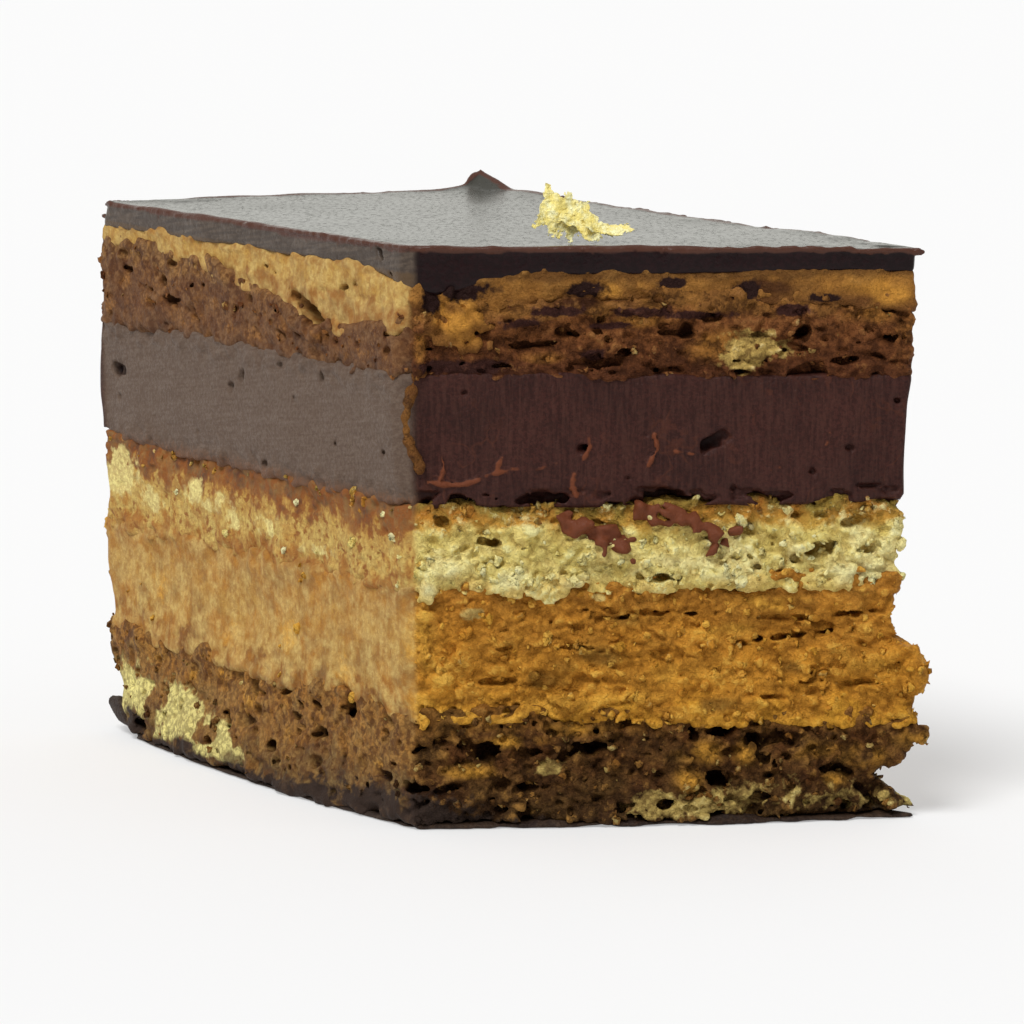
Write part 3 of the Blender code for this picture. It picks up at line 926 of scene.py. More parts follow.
lowerSpongeLook = {
    "seed": 11, "fray": 0.1, "voxel": 0.14, "lap": (0.55, 0.8), "soften": 0.4, "adaptivity": 0.04,
    "tornLumps": (((2.4, 2.4, 1.6), 0.13),),
    "wipedLumps": (((2.6, 2.6, 2.0), 0.1), ((0.8, 0.8, 1.0), 0.03)),
    "leanWiped": ((0.0, 0.15), (0.15, 0.12), (0.45, 0.0), (1.0, 0.0)),
    "crumble": (
        ((1.2, 1.2, 0.9), 0.12, 0.06), ((0.6, 0.6, 0.5), 0.13, 0.09), ((0.34, 0.34, 0.32), 0.1, 0.1),
    ),
    "gaps": (((0.9, 0.9, 0.6), 1.15, 0.8, 0.25), ((0.5, 0.5, 0.4), 1.3, 0.45, 0.5)),
    "pores": (
        {
            "perMm": 0.4, "onWiped": 0.8, "depth": (-0.1, 0.4), "radius": (0.14, 0.45), "rarity": 3.0,
            "ratio": (1.2, 1.0, 0.8), "ragged": 0.1,
        },
        {
            "perMm": 0.045, "onWiped": 0.4, "depth": (0.0, 0.5), "radius": (0.5, 1.0), "rarity": 2.0,
            "ratio": (1.3, 1.0, 0.75), "ragged": 0.2,
        },
    ),
    "hollows": {
        "frontRight": (
            (13, 6, 0.2, 0, 1.2, 1.5, 0.6), (22.6, 3.4, 0.2, -20, 1, 1.6, 0.8),
            (18.6, 1.7, 0.2, 0, 0.8, 1.2, 0.4), (8, 3.2, 0.2, 10, 0.8, 1, 0.5),
            (31.5, 4, 0.2, 0, 0.9, 1, 0.5),
        ),
        "frontLeft": (
            (35, 3.2, 0.1, 0, 0.7, 0.9, 0.6), (44, 3.6, 0.1, 0, 0.8, 0.9, 0.5),
            (30, 2.2, 0.1, 0, 0.5, 0.7, 0.4),
        ),
        "backLeft": ((12, 4, 0.2, 0, 1.1, 1.3, 0.8), (24, 5.5, 0.2, 0, 0.9, 1.2, 0.6)),
        "backRight": ((15, 4, 0.1, 0, 0.8, 0.8, 0.5), (38, 3, 0.1, 0, 0.9, 0.9, 0.6)),
    },
    "lobes": {
        "frontRight": (
            (38, 6.4, -0.1, 0, 0.8, 0.9, 0.7), (38.2, 5.3, -0.1, 15, 0.6, 0.5, 0.35),
            (21.2, 5.5, -0.05, -35, 1.2, 0.6, 0.6), (20.3, 3.4, -0.05, 60, 0.9, 0.6, 0.5),
            (31.5, 3.1, -0.05, 20, 0.8, 0.6, 0.7), (33.8, 4.9, -0.05, 35, 1.2, 0.6, 0.7),
            (4.6, 3.6, -0.05, 10, 1.2, 0.5, 0.5), (24.6, 5.4, -0.05, 40, 0.7, 0.5, 0.5),
        ),
    },
    "dullSpots": {
        "frontLeft": (
            (6, 1.6, 1.8, 1.1), (15.5, 1, 2.6, 0.9), (28, 1.2, 6, 1.1), (40, 1.6, 8, 1.2), (46, 2.6, 3, 2),
            (37, 3.6, 6, 1.8), (33, 6.6, 2, 0.7),
        ),
        "backRight": ((20, 1.2, 12, 1),),
    },
    "brightSpots": {
        "frontRight": (
            (37.5, 7.6, 1.8, 1.6), (3.6, 4.4, 2.2, 0.5), (38.2, 5.4, 0.8, 0.5), (12, 7.6, 1.6, 0.5),
            (21, 8.2, 2.6, 0.6), (29, 5.6, 2, 0.6), (21.2, 5.6, 1.4, 0.8), (20.3, 3.4, 0.9, 0.8),
            (31.5, 3.1, 1, 0.9), (33.8, 4.9, 1.4, 1), (24.6, 5.4, 0.8, 0.7), (7, 6.6, 2, 0.4),
        ),
        "frontLeft": (
            (24, 6.4, 1.6, 0.7), (31, 4.6, 1.4, 0.8), (16, 6.8, 2, 0.7), (39, 5.2, 1.6, 0.7),
            (26.5, 1.8, 0.7, 0.8), (35, 6.6, 1.2, 0.5), (43, 4.4, 1, 0.6), (20, 7.6, 1.2, 0.4),
            (10, 7.4, 1.8, 0.5),
        ),
    },
    "stainSpots": {
        "frontLeft": (
            (4, 0.5, 4, 0.9), (15, 0.2, 6, 0.9), (29, 0.3, 9, 0.9), (44, 0.8, 6, 2), (35, 0.6, 3, 1.4),
            (6.2, 1.8, 1.2, 0.9), (15.6, 1.2, 1.6, 0.7),
        ),
        "frontRight": ((2, 0.4, 6, 0.8),), "backRight": ((20, 0.4, 20, 0.8),),
    },
    "paleSpots": {
        "frontRight": (
            (18.2, 1.6, 2.4, 1), (24, 1.6, 4.2, 1.2), (34.6, 1.8, 4.6, 1.2), (29, 2.2, 2.6, 1.2),
            (9.8, 4.6, 1.1, 0.6),
        ),
        "frontLeft": ((7, 4.2, 5.5, 2.6), (13.5, 3.4, 6, 2.2), (20.5, 2.6, 5.5, 1.7)),
        "backLeft": ((10, 2, 6, 1.4), (26, 2.4, 5, 1.4)), "backRight": ((20, 3, 9, 2), (42, 2.6, 5, 1.8)),
    },
}


def patches(mesh, points, block, look):
    # pale where dry, stained by chocolate, a tint above 0 where bright and below 0 where dull
    drift = readBlock(block, lumps(block, (1.6, 1.6, 1.1), seeds["tone"]), points)
    drift = drift + 0.7 * readBlock(block, lumps(block, (0.7, 0.7, 0.6), seeds["toneFine"]), points)
    pale, stain, bright, dull = (
        sideSpots(points, listed(look, sort + "Spots")) for sort in ("pale", "stain", "bright", "dull"))
    writeValues(mesh, "pale", np.clip(pale * (1.15 + 0.45 * drift), 0, 1))
    writeValues(mesh, "stain", np.clip(stain * (1.2 + 0.2 * drift), 0, 1))
    writeValues(mesh, "tint", np.clip((bright - dull) * (0.9 + 0.5 * drift), -1, 1))


soakedMat = crumbMaterial("soakedSponge", lowerSpongeFinish)
lowerSponge, _ = buildLayer(
    "lowerSponge", "lower_sponge", lowerSpongeLook, soakedMat, marks=patches)
strewCrumbs("lowerCrumbs", lowerSponge, {
    "seed": 12, "perMm": 0.8, "size": (0.10, 0.42), "lumpiness": 1.8, "onTorn": 1.0, "onWiped": 0.25,
    "belts": ((0.5, 0.6, 0.7), (1.0, 0.15, 1.0)),
    "values": {"torn": (1.0, 1.0), "relief": (-0.2, 1.2), "level": (0.4, 1.1), "pale": (0.0, 0.45)},
}, soakedMat)


# Thick cream: torn into lumps and shelves on the cut sides, wiped smooth on the others.

creamFinish = {
    "roughness": 0.5, "specular": 0.05, "grainSize": 0.38, "grainHeight": 0.09, "grainWiped": 0.02,
    "patchSize": 2.6, "warp": 0.22, "reliefTone": 1.0, "grainTone": 0.6, "crestHighlightAmount": 0.7,
    "deepAmount": 0.55, "deepAt": 1.6, "stray": 0.2, "smudge": 0.7, "smudgeColour": (0.44, 0.19, 0.034),
    "pits": 0.3, "smear": (0.34, 0.15, 0.03), "haze": 0.6, "hazeColour": (0.25, 0.15, 0.055),
    "dragTone": 0.25, "litTop": 2.0, "stain": (0.027, 0.012, 0.01), "stainLight": (0.046, 0.019, 0.014),
    "tornBands": (
        (0.0, (0.74, 0.36, 0.04)), (0.12, (0.7, 0.31, 0.036)), (0.5, (0.64, 0.275, 0.033)),
        (0.9, (0.63, 0.27, 0.038)), (1.0, (0.52, 0.22, 0.035)),
    ),
    "patch": (0.42, 0.195, 0.03), "patchAmount": 0.5, "tornPaintedHighlight": (0.92, 0.54, 0.095),
    "tornPaintedShade": (0.2, 0.072, 0.008), "bright": (0.76, 0.39, 0.055), "dull": (0.27, 0.135, 0.024),
    "paleTorn": (0.7, 0.5, 0.16), "palePaintedHighlight": (0.9, 0.72, 0.3), "palePaintedShade": (0.3, 0.14, 0.03),
    "dragWidth": 0.35, "drag": 0.16, "dragHeight": 0.012, "fibre": 0.6, "speck": 0.35,
    "wipedBands": (
        (0.0, (0.2, 0.085, 0.024)), (0.12, (0.36, 0.19, 0.045)), (0.35, (0.46, 0.26, 0.064)),
        (0.75, (0.46, 0.255, 0.062)), (0.9, (0.38, 0.18, 0.04)), (1.0, (0.3, 0.12, 0.028)),
    ),
    "wipedLight": (0.66, 0.48, 0.17), "wipedDark": (0.26, 0.1, 0.022), "paleWiped": (0.6, 0.42, 0.14),
}
creamMat = crumbMaterial("coffeeCream", creamFinish)
thickCreamLook = {
    "seed": 23, "fray": 0.08, "voxel": 0.14, "lap": (0.8, 0.6), "soften": 0.4, "adaptivity": 0.04,
    "tornLumps": (((2.6, 2.6, 1.4), 0.16),),
    "wipedLumps": (((3.0, 3.0, 3.0), 0.1), ((0.9, 0.9, 1.4), 0.02)),
    "crumble": (
        ((1.7, 1.7, 0.9), 0.13, 0.0), ((0.7, 0.7, 0.5), 0.17, 0.02), ((0.36, 0.36, 0.32), 0.12, 0.04),
    ),
    "gaps": (((1.9, 1.9, 0.5), 1.5, 0.45, 0.0), ((0.7, 0.7, 0.45), 1.6, 0.35, 0.05)),
    "hollows": {
        "frontRight": (
            (28.6, 14.2, 0.2, 6, 3.6, 1, 0.16), (25, 13.6, 0.15, -8, 1.6, 0.7, 0.14),
            (24, 18, 0.1, 2, 3.2, 0.8, 0.14), (19.5, 16.2, 0.1, -3, 2.4, 0.7, 0.12),
            (15.2, 15.9, 0.1, 5, 1.4, 0.6, 0.12), (33.4, 16, 0.1, 5, 1.6, 0.8, 0.16),
        ),
        "backLeft": (
            (9, 14.5, 0.3, 3, 3.6, 1.4, 0.22), (20, 12, 0.2, -5, 3, 1.2, 0.22),
            (27, 16.5, 0.2, 4, 3.2, 1.2, 0.2),
        ),
    },
    "lobes": {
        "frontRight": (
            (37.4, 11.4, -0.2, 0, 1.2, 1.2, 1.8), (36.2, 12.9, -0.2, 10, 1.6, 0.9, 0.7),
            (3.8, 16.6, 0, 20, 0.9, 0.4, 0.45), (0.4, 7.4, 0, -50, 0.9, 0.4, 0.45),
            (3.6, 8.5, -0.05, 4, 2, 0.4, 0.4), (7.6, 8.8, -0.05, 12, 1.8, 0.4, 0.45),
            (11.6, 9.5, -0.05, -8, 1.8, 0.4, 0.45), (18.6, 8.9, -0.05, 6, 1.2, 0.4, 0.4),
            (25.6, 9.3, -0.05, -10, 1.4, 0.4, 0.35),
        ),
    },
    "paleSpots": {"frontRight": ((3.9, 16.5, 0.9, 0.5), (13.4, 17.5, 0.5, 0.3))},
    "brightSpots": {
        "frontRight": (
            (5, 8.7, 3.5, 0.5), (10.5, 9.6, 2.6, 0.8), (15, 9.8, 3, 0.5), (0.4, 13.5, 0.35, 5),
            (20, 11.6, 3, 0.7), (7.5, 14.2, 2, 0.5), (22, 14.8, 2.5, 0.5), (27, 16.6, 3, 0.7),
            (34, 12.2, 2, 0.8),
        ),
        "frontLeft": (
            (47.3, 12.5, 0.8, 5), (38.5, 10.6, 1.6, 1.2), (30, 13, 1.2, 1.6), (21, 10.8, 2, 0.9),
            (40, 16, 1.4, 0.7), (10, 13.6, 1.6, 1.2),
        ),
    },
    "edge": {"from": 7.4, "to": 17.8, "at": 0.3, "size": (0.22, 0.36)},
    "dullSpots": {
        "frontRight": (
            (9.8, 11.5, 2.4, 1.1), (4.6, 9.9, 2, 0.6), (13.5, 13, 1.4, 0.8), (17.5, 15.8, 2.5, 0.5),
            (29, 11.8, 2, 0.6), (22, 9.2, 2, 0.5),
        ),
        "frontLeft": (
            (2, 12.5, 3, 4.5), (12, 17, 6, 1.1), (7, 9.4, 5, 1.1), (22, 17.4, 4, 0.8), (36, 17.6, 7, 0.8),
            (26, 9.2, 8, 0.6),
        ),
        "backRight": ((10, 16.8, 6, 1.2), (30, 9.6, 8, 1.2)),
    },
}
thickCream, _ = buildLayer(
    "thickCream", "thick_cream", thickCreamLook, creamMat, marks=patches)
strewCrumbs("creamCrumbs", thickCream, {
    "seed": 24, "perMm": 0.9, "size": (0.10, 0.42), "lumpiness": 1.8, "onTorn": 1.0, "onWiped": 0.04,
    "belts": ((0.5, 0.6, 0.8), (0.0, 0.1, 1.0)),
    "values": {"torn": (1.0, 1.0), "relief": (-0.1, 1.2), "level": (-0.1, 0.7), "pale": (0.0, 0.3)},
}, creamMat)


# Middle sponge: pale open crumb, browned along its top.

paleSpongeFinish = {
    "roughness": 0.7, "specular": 0.12, "grainSize": 0.42, "grainHeight": 0.1, "grainWiped": 0.03,
    "patchSize": 1.8, "warp": 0.22, "reliefTone": 1.0, "grainTone": 0.6, "crestHighlightAmount": 0.8,
    "deepAmount": 0.5, "deepAt": 1.5, "stray": 0.3, "smudge": 0.35, "smudgeColour": (0.46, 0.22, 0.05),
    "pits": 0.35, "smear": (0.16, 0.055, 0.018), "haze": 0.35, "hazeColour": (0.34, 0.23, 0.08),
    "dragTone": 0.3, "litTop": 0.72, "stain": (0.03, 0.011, 0.008), "stainLight": (0.1, 0.038, 0.024),
    "tornBands": (
        (0.0, (0.9, 0.66, 0.21)), (0.12, (1.0, 0.84, 0.32)), (0.64, (0.98, 0.78, 0.25)),
        (0.76, (0.66, 0.28, 0.04)), (0.9, (0.43, 0.15, 0.022)), (1.0, (0.2, 0.07, 0.016)),
    ),
    "patch": (0.62, 0.49, 0.1), "patchAmount": 0.55, "tornPaintedHighlight": (1.0, 0.93, 0.43),
    "tornPaintedShade": (0.36, 0.2, 0.03), "bright": (1.0, 0.92, 0.46), "dull": (0.46, 0.36, 0.08),
    "paleTorn": (1.0, 0.88, 0.38), "palePaintedHighlight": (1.0, 0.96, 0.56), "palePaintedShade": (0.5, 0.3, 0.06),
    "dragWidth": 0.5, "drag": 0.3, "dragHeight": 0.015, "fibre": 0.45, "speck": 0.85,
    "wipedBands": (
        (0.0, (0.36, 0.15, 0.032)), (0.14, (0.5, 0.28, 0.063)), (0.42, (0.6, 0.41, 0.115)),
        (0.58, (0.5, 0.28, 0.058)), (0.68, (0.27, 0.105, 0.028)), (0.82, (0.15, 0.058, 0.026)),
        (1.0, (0.1, 0.046, 0.028)),
    ),
    "wipedLight": (0.66, 0.52, 0.165), "wipedDark": (0.24, 0.078, 0.018), "paleWiped": (0.82, 0.7, 0.27),
}
middleSpongeLook = {
    "seed": 37, "fray": 0.11, "voxel": 0.14, "lap": (0.5, 0.4), "soften": 0.4, "adaptivity": 0.04,
    "tornLumps": (((2.2, 2.2, 1.4), 0.16),),
    "wipedLumps": (((2.6, 2.6, 2.0), 0.1), ((0.8, 0.8, 1.0), 0.03)),
    "crumble": (
        ((1.1, 1.1, 0.8), 0.14, 0.05), ((0.6, 0.6, 0.5), 0.14, 0.08), ((0.34, 0.34, 0.32), 0.1, 0.1),
    ),
    "gaps": (((0.9, 0.9, 0.55), 1.15, 0.6, 0.12), ((0.5, 0.5, 0.4), 1.4, 0.4, 0.35)),
    "lean": ((0.0, 0.3), (0.3, 0.12), (0.65, 0.0), (0.85, -0.08), (1.0, -0.2)),
    "brightSpots": {
        "frontRight": (
            (0.5, 18.1, 0.6, 0.7), (6.8, 19.2, 1.8, 0.8), (11.4, 18.7, 0.9, 0.5), (12.8, 21.2, 1.8, 0.8),
            (2, 20, 1, 0.7), (18, 20.2, 1.5, 0.6), (24, 19.4, 2, 0.7), (33, 19.2, 2.5, 0.8),
        ),
    },
    "dullSpots": {"frontRight": ((9.5, 20.6, 1.6, 0.6), (4.6, 19.2, 1.2, 0.5), (15.6, 19.6, 1.2, 0.5))},
    "hollows": {
        "frontRight": (
            (5.2, 21.8, 0.2, -12, 0.8, 1.2, 0.28), (30.3, 20.9, 0.1, 8, 1.4, 1, 0.5),
            (18.4, 19, 0.1, 0, 1.5, 1, 0.4), (33, 22.9, 0.1, 10, 1.2, 0.9, 0.6),
        ),
        "frontLeft": ((0.4, 19.6, 0.1, 0, 0.9, 1, 0.5),),
    },
    "lobes": {
        "frontRight": (
            (0.6, 18.2, -0.2, 0, 0.7, 0.5, 0.8), (6.8, 19.2, -0.1, -25, 1.9, 0.6, 0.8),
            (11.4, 18.7, -0.1, 0, 0.9, 0.5, 0.5), (12.8, 21.2, 0, -15, 1.8, 0.6, 0.9),
        ),
    },
    "paleSpots": {
        "frontRight": ((24, 20.4, 5, 1.3), (35, 21.4, 4, 1.6), (1.4, 20.4, 1.4, 0.9)),
        "frontLeft": (
            (17, 21.8, 3.4, 1.1), (4, 22.4, 3.6, 1.8), (8.4, 20.6, 2, 1), (26.5, 20.6, 2.6, 0.9),
            (34, 19.6, 2.4, 0.7), (21, 20.2, 1.6, 0.8),
        ),
        "backRight": ((14, 20.8, 3, 1.6), (33, 21, 4, 1.4)),
    },
}
paleMat = crumbMaterial("paleSponge", paleSpongeFinish)
middleSponge, middleBlock = buildLayer(
    "middleSponge", "middle_sponge", middleSpongeLook, paleMat, marks=patches)
strewCrumbs("paleCrumbs", middleSponge, {
    "seed": 38, "perMm": 1.0, "size": (0.12, 0.5), "lumpiness": 1.8, "onTorn": 1.0, "onWiped": 0.08,
    "belts": ((0.35, 0.35, 0.8), (0.1, 0.12, 1.0)),
    "values": {"torn": (1.0, 1.0), "relief": (0.0, 1.3), "level": (0.1, 0.72), "pale": (0.0, 0.9)},
}, paleMat)
strewCrumbs("seamCrumbs", middleSponge, {
    "seed": 39, "perMm": 1.3, "size": (0.12, 0.45), "lumpiness": 1.8, "onTorn": 1.0, "onWiped": 0.3,
    "belts": ((0.95, 0.12, 1.0),),
    "values": {"torn": (1.0, 1.0), "relief": (-0.2, 0.6), "level": (0.76, 1.1), "pale": (0.0, 0.0)},
}, paleMat)


# Ganache: dense, with pits, thin raised threads and dark recesses along its underside.
# A ridge is given as side, radius, then s and z of each point on its path.

ganacheFinish = {
    "roughness": 0.42, "specular": 0.16, "grainSize": 0.3, "grainHeight": 0.025,
    "dark": (0.036, 0.0098, 0.007), "light": (0.056, 0.016, 0.0113), "deep": (0.014, 0.004, 0.003),
    "hair": 0.35, "hairColour": (0.085, 0.032, 0.022), "hairHeight": 0.03, "burr": (0.155, 0.043, 0.017),
    "top": (0.045, 0.014, 0.01), "crease": 0.18, "foot": (0.16, 0.072, 0.034), "dragWidth": 0.22,
    # the wiped colours are partly painted sheen: the smoothed sides lighter and greyer
    "dragHeight": 0.022, "wiped": (0.125, 0.083, 0.058), "wipedLight": (0.165, 0.118, 0.088),
    "wipedDark": (0.07, 0.038, 0.026),
}
ganacheMat = chocolateMaterial("ganache", ganacheFinish)
ganacheLook = {
    "seed": 41, "fray": 0.1, "voxel": 0.15, "lap": (0.4, 0.4), "soften": 0.4, "adaptivity": 0.012,
    "tornLumps": (((5.0, 5.0, 4.0), 0.1), ((1.3, 1.3, 1.6), 0.035)),
    "wipedLumps": (((6.0, 6.0, 5.0), 0.12), ((1.6, 1.6, 0.9), 0.025)),
    "undercut": (((1.8, 1.8, 0.7), 0.6, 0.5, 0.1), ((0.7, 0.7, 0.4), 0.6, 0.35, 0.07)),
    "pores": (
        {
            "perMm": 0.05, "onWiped": 0.5, "depth": (-0.05, 0.15), "radius": (0.12, 0.32), "rarity": 2.0,
            "ratio": (1.2, 1.0, 0.8), "ragged": 0.06,
        },
    ),
    "hollows": {
        "frontRight": (
            (22, 29, 0, 15, 0.9, 0.8, 0.5), (23, 29.5, 0, 30, 0.5, 0.6, 0.3),
            (12.3, 28.7, 0, 0, 0.45, 0.6, 0.35), (18.7, 24.9, 0.3, 0, 2, 1.3, 0.7),
            (9.3, 24.9, 0.3, 0, 1.7, 1.1, 0.6), (31, 24.7, 0.3, 0, 1.4, 1, 0.5),
            (2.8, 24.8, 0.3, 0, 1.4, 1, 0.6),
        ),
        "frontLeft": (
            (3, 30.6, 0, 0, 1.1, 0.9, 0.45), (21.4, 31, 0, 0, 0.35, 0.5, 0.25),
            (23.4, 32.2, 0, 60, 0.5, 0.5, 0.22), (35.6, 33, 0, 80, 0.7, 0.5, 0.2),
        ),
        "backLeft": ((14, 29, 0, 0, 0.8, 0.8, 0.5),), "backRight": ((30, 31, 0, 0, 0.7, 0.7, 0.35),),
    },
    "ridges": (
        (
            "frontRight", 0.165,
            (
                (0.7, 26.4), (1.6, 26.2), (3.0, 26.1), (4.2, 26.4), (5.2, 26.9), (7.0, 27.3), (8.6, 27.2),
                (10.4, 27.7),
            ),
        ),
        ("frontRight", 0.14, ((1.5, 26.3), (1.9, 27.4), (1.7, 28.3))),
        ("frontRight", 0.15, ((5.8, 27.2), (6.3, 28.4))),
        ("frontRight", 0.15, ((11.8, 25.2), (11.4, 26.0), (11.6, 26.9))),
        ("frontRight", 0.15, ((12.3, 28.0), (12.8, 28.9), (12.6, 29.8))),
        ("frontRight", 0.15, ((17.2, 27.4), (17.9, 28.6), (17.6, 29.8))),
        ("frontRight", 0.14, ((19.2, 28.4), (20.6, 28.2))),
        ("frontRight", 0.15, ((25.4, 26.2), (26.4, 26.9), (27.4, 27.2))),
        ("frontRight", 0.14, ((30.5, 28.6), (30.9, 29.8))),
        ("backLeft", 0.18, ((16.0, 27.6), (20.0, 28.0), (24.0, 28.9))),
        ("backLeft", 0.16, ((6.0, 27.0), (8.5, 26.6), (10.0, 27.2))),
    ),
}
_, ganacheBlock = buildLayer("ganacheSlab", "ganache", ganacheLook, ganacheMat)
ganacheSmearLook = {
    "ragged": 0.22,
    "smears": {
        "frontRight": (
            (11.9, 23.1, -0.1, -32, 1.2, 0.45, 0.75), (13.4, 22.2, -0.1, -30, 1.3, 0.45, 0.75),
            (15.2, 21.4, -0.1, -24, 1.2, 0.4, 0.6), (16.6, 20.7, -0.1, -40, 0.6, 0.35, 0.35),
            (18, 24, -0.1, -10, 1.4, 0.45, 0.65), (20, 23.2, -0.1, -28, 1.5, 0.45, 0.6),
            (21.8, 22.4, -0.1, -30, 1, 0.4, 0.45), (22.9, 21.4, -0.1, 40, 0.9, 0.38, 0.4),
        ),
        "backLeft": ((14, 23, -0.1, -30, 1.4, 0.45, 0.7), (16, 22.2, -0.1, -28, 1.3, 0.4, 0.6)),
    },
}
buildSmears("ganacheSmears", middleBlock, ganacheSmearLook, listed(ganacheSmearLook, "smears"),
            ganacheMat)


# Upper sponge: soaked through, torn into short level gaps, with one pale patch.

upperSpongeFinish = dict(
    lowerSpongeFinish, roughness=0.5, warp=0.25, patchAmount=0.35,
    tornBands=(
        (0.0, (0.13, 0.043, 0.016)), (0.5, (0.205, 0.072, 0.022)), (0.85, (0.24, 0.088, 0.026)),
        (1.0, (0.34, 0.15, 0.034)),
    ),
    patch=(0.12, 0.042, 0.02), tornPaintedHighlight=(0.4, 0.18, 0.055), tornPaintedShade=(0.026, 0.008, 0.0035),
    bright=(0.4, 0.17, 0.035), dull=(0.05, 0.016, 0.008), smear=(0.1, 0.055, 0.035),
    smudgeColour=(0.28, 0.12, 0.03), smudge=0.45, paleTorn=(0.62, 0.42, 0.12), palePaintedHighlight=(0.9, 0.72, 0.33),
    hazeColour=(0.115, 0.062, 0.036), stain=(0.044, 0.016, 0.012), stainLight=(0.105, 0.04, 0.026),
    wipedBands=(
        (0.0, (0.11, 0.058, 0.034)), (0.3, (0.15, 0.06, 0.022)), (0.8, (0.17, 0.078, 0.03)),
        (1.0, (0.32, 0.165, 0.05)),
    ),
    wipedLight=(0.26, 0.14, 0.065), wipedDark=(0.07, 0.024, 0.01),
)
upperSpongeLook = {
    "seed": 53, "fray": 0.1, "voxel": 0.14, "lap": (0.4, 0.8), "soften": 0.4, "adaptivity": 0.04,
    "tornLumps": (((2.2, 2.2, 1.3), 0.11),),
    "wipedLumps": (((2.6, 2.6, 2.0), 0.09), ((0.8, 0.8, 1.0), 0.03)),
    "crumble": (
        ((1.3, 1.3, 0.8), 0.09, 0.06), ((0.6, 0.6, 0.45), 0.1, 0.1), ((0.36, 0.36, 0.32), 0.07, 0.1),
    ),
    "gaps": (((1.3, 1.3, 0.5), 1.3, 0.7, 0.12), ((0.5, 0.5, 0.4), 1.4, 0.35, 0.4)),
    "edge": {"from": 34.4, "to": 40.5, "at": 0.2, "size": (0.3, 0.55)},
    "brightSpots": {
        "frontRight": (
            (0.1, 37.5, 0.4, 4), (38, 37, 1.6, 2.6), (34, 38.6, 2, 0.6), (15, 38.2, 3, 0.4),
            (9, 35.4, 2, 0.5), (22.4, 36.4, 2.4, 1),
        ),
        "frontLeft": (
            (34.8, 36.5, 1.6, 0.8), (8, 37, 1.6, 0.8), (14.5, 36, 2, 0.8), (25.5, 35.6, 1.8, 0.6),
            (42, 35.6, 1.6, 0.5), (32.4, 36.8, 1.6, 1), (4.6, 38, 0.8, 0.6), (11, 38.4, 0.9, 0.5),
            (18.6, 37.4, 1, 0.6), (21, 35.6, 0.8, 0.5), (45, 35.8, 0.8, 0.7), (38.6, 35.2, 0.8, 0.5),
            (2, 35.8, 1, 0.6), (29.4, 36.2, 0.9, 0.6),
        ),
    },
    "dullSpots": {"frontRight": ((5, 34.9, 5, 0.7), (13, 39.6, 5, 0.6))},
    "pores": (
        {
            "perMm": 0.35, "onWiped": 0.8, "depth": (-0.1, 0.3), "radius": (0.14, 0.4), "rarity": 3.0,
            "ratio": (1.5, 1.0, 0.7), "ragged": 0.1,
        },
    ),
    "hollows": {
        "frontRight": (
            (11.2, 37.3, 0.2, -8, 1, 1.2, 0.45), (20.2, 37.5, 0.2, 0, 0.8, 1.2, 0.4),
            (28.7, 37.2, 0.2, 0, 0.75, 1.3, 0.55), (32, 35.2, 0.2, 0, 1, 1.1, 0.35),
            (18.4, 34.5, 0.2, 0, 0.8, 1.1, 0.3), (24.5, 34.3, 0.2, 0, 1.6, 1.1, 0.25),
            (14.6, 35.8, 0.2, 6, 1.2, 1, 0.25), (35.2, 36.8, 0.2, 0, 0.7, 1, 0.3),
        ),
        "frontLeft": (
            (33.7, 37.8, 0.1, -24, 2.7, 1.9, 0.95), (12, 37.2, 0.1, 0, 0.9, 0.8, 0.4),
            (5, 39, 0.1, 0, 0.8, 0.8, 0.4),
        ),
        "backLeft": ((10, 37.5, 0.2, 0, 1, 1.2, 0.4), (22, 36.5, 0.2, 0, 1.2, 1.1, 0.35)),
        "backRight": ((30, 37, 0.1, 0, 1, 0.9, 0.4),),
    },
    "lobes": {
        "frontRight": (
            (25.2, 35.6, 0, 10, 1, 0.4, 0.6), (6.6, 37.8, -0.1, 16, 1.8, 0.5, 0.5),
            (9.4, 38.6, -0.1, 12, 2, 0.5, 0.5), (12.6, 39.1, -0.1, 6, 2, 0.5, 0.45),
            (16, 39.2, -0.1, -4, 2, 0.45, 0.4), (7, 38.9, 0.1, 14, 2.6, 0.5, 0.5),
            (10.6, 39.4, 0.1, 8, 2.4, 0.5, 0.45),
        ),
        "frontLeft": (
            (34.6, 36.4, -0.1, 0, 0.9, 0.5, 0.7), (36.4, 37, -0.1, 0, 0.6, 0.4, 0.5),
            (31.6, 36.9, -0.1, -20, 0.8, 0.4, 0.4), (32.8, 36.7, 0.1, -20, 1, 0.6, 0.8),
            (33.8, 36.2, 0, 0, 0.7, 0.5, 0.6),
        ),
    },
    "paleSpots": {"frontRight": ((25, 35.7, 2.2, 1.3),), "backLeft": ((18, 35.5, 1.6, 0.9),)},
    "stainSpots": {
        "frontRight": (
            (7.6, 38.2, 1.6, 0.45), (10.4, 39, 2.4, 0.4), (16.5, 38.9, 2.6, 0.35), (14, 37.9, 1.8, 0.3),
            (21, 38.6, 2.4, 0.3), (3, 34.9, 3, 0.6), (28, 38.9, 1.2, 0.4), (13, 35.7, 1, 0.5),
        ),
    },
}
darkMat = crumbMaterial("darkSponge", upperSpongeFinish)
upperSponge, _ = buildLayer(
    "upperSponge", "upper_sponge", upperSpongeLook, darkMat, marks=patches)
strewCrumbs("upperCrumbs", upperSponge, {
    "seed": 54, "perMm": 0.7, "size": (0.10, 0.36), "lumpiness": 1.8, "onTorn": 1.0, "onWiped": 0.25,
    "belts": ((0.5, 0.6, 0.8),),
    "values": {"torn": (1.0, 1.0), "relief": (-0.3, 1.0), "level": (0.2, 0.95), "pale": (0.0, 0.35)},
}, darkMat)


# Thin cream: pressed down at the near corner, where it is thickest.

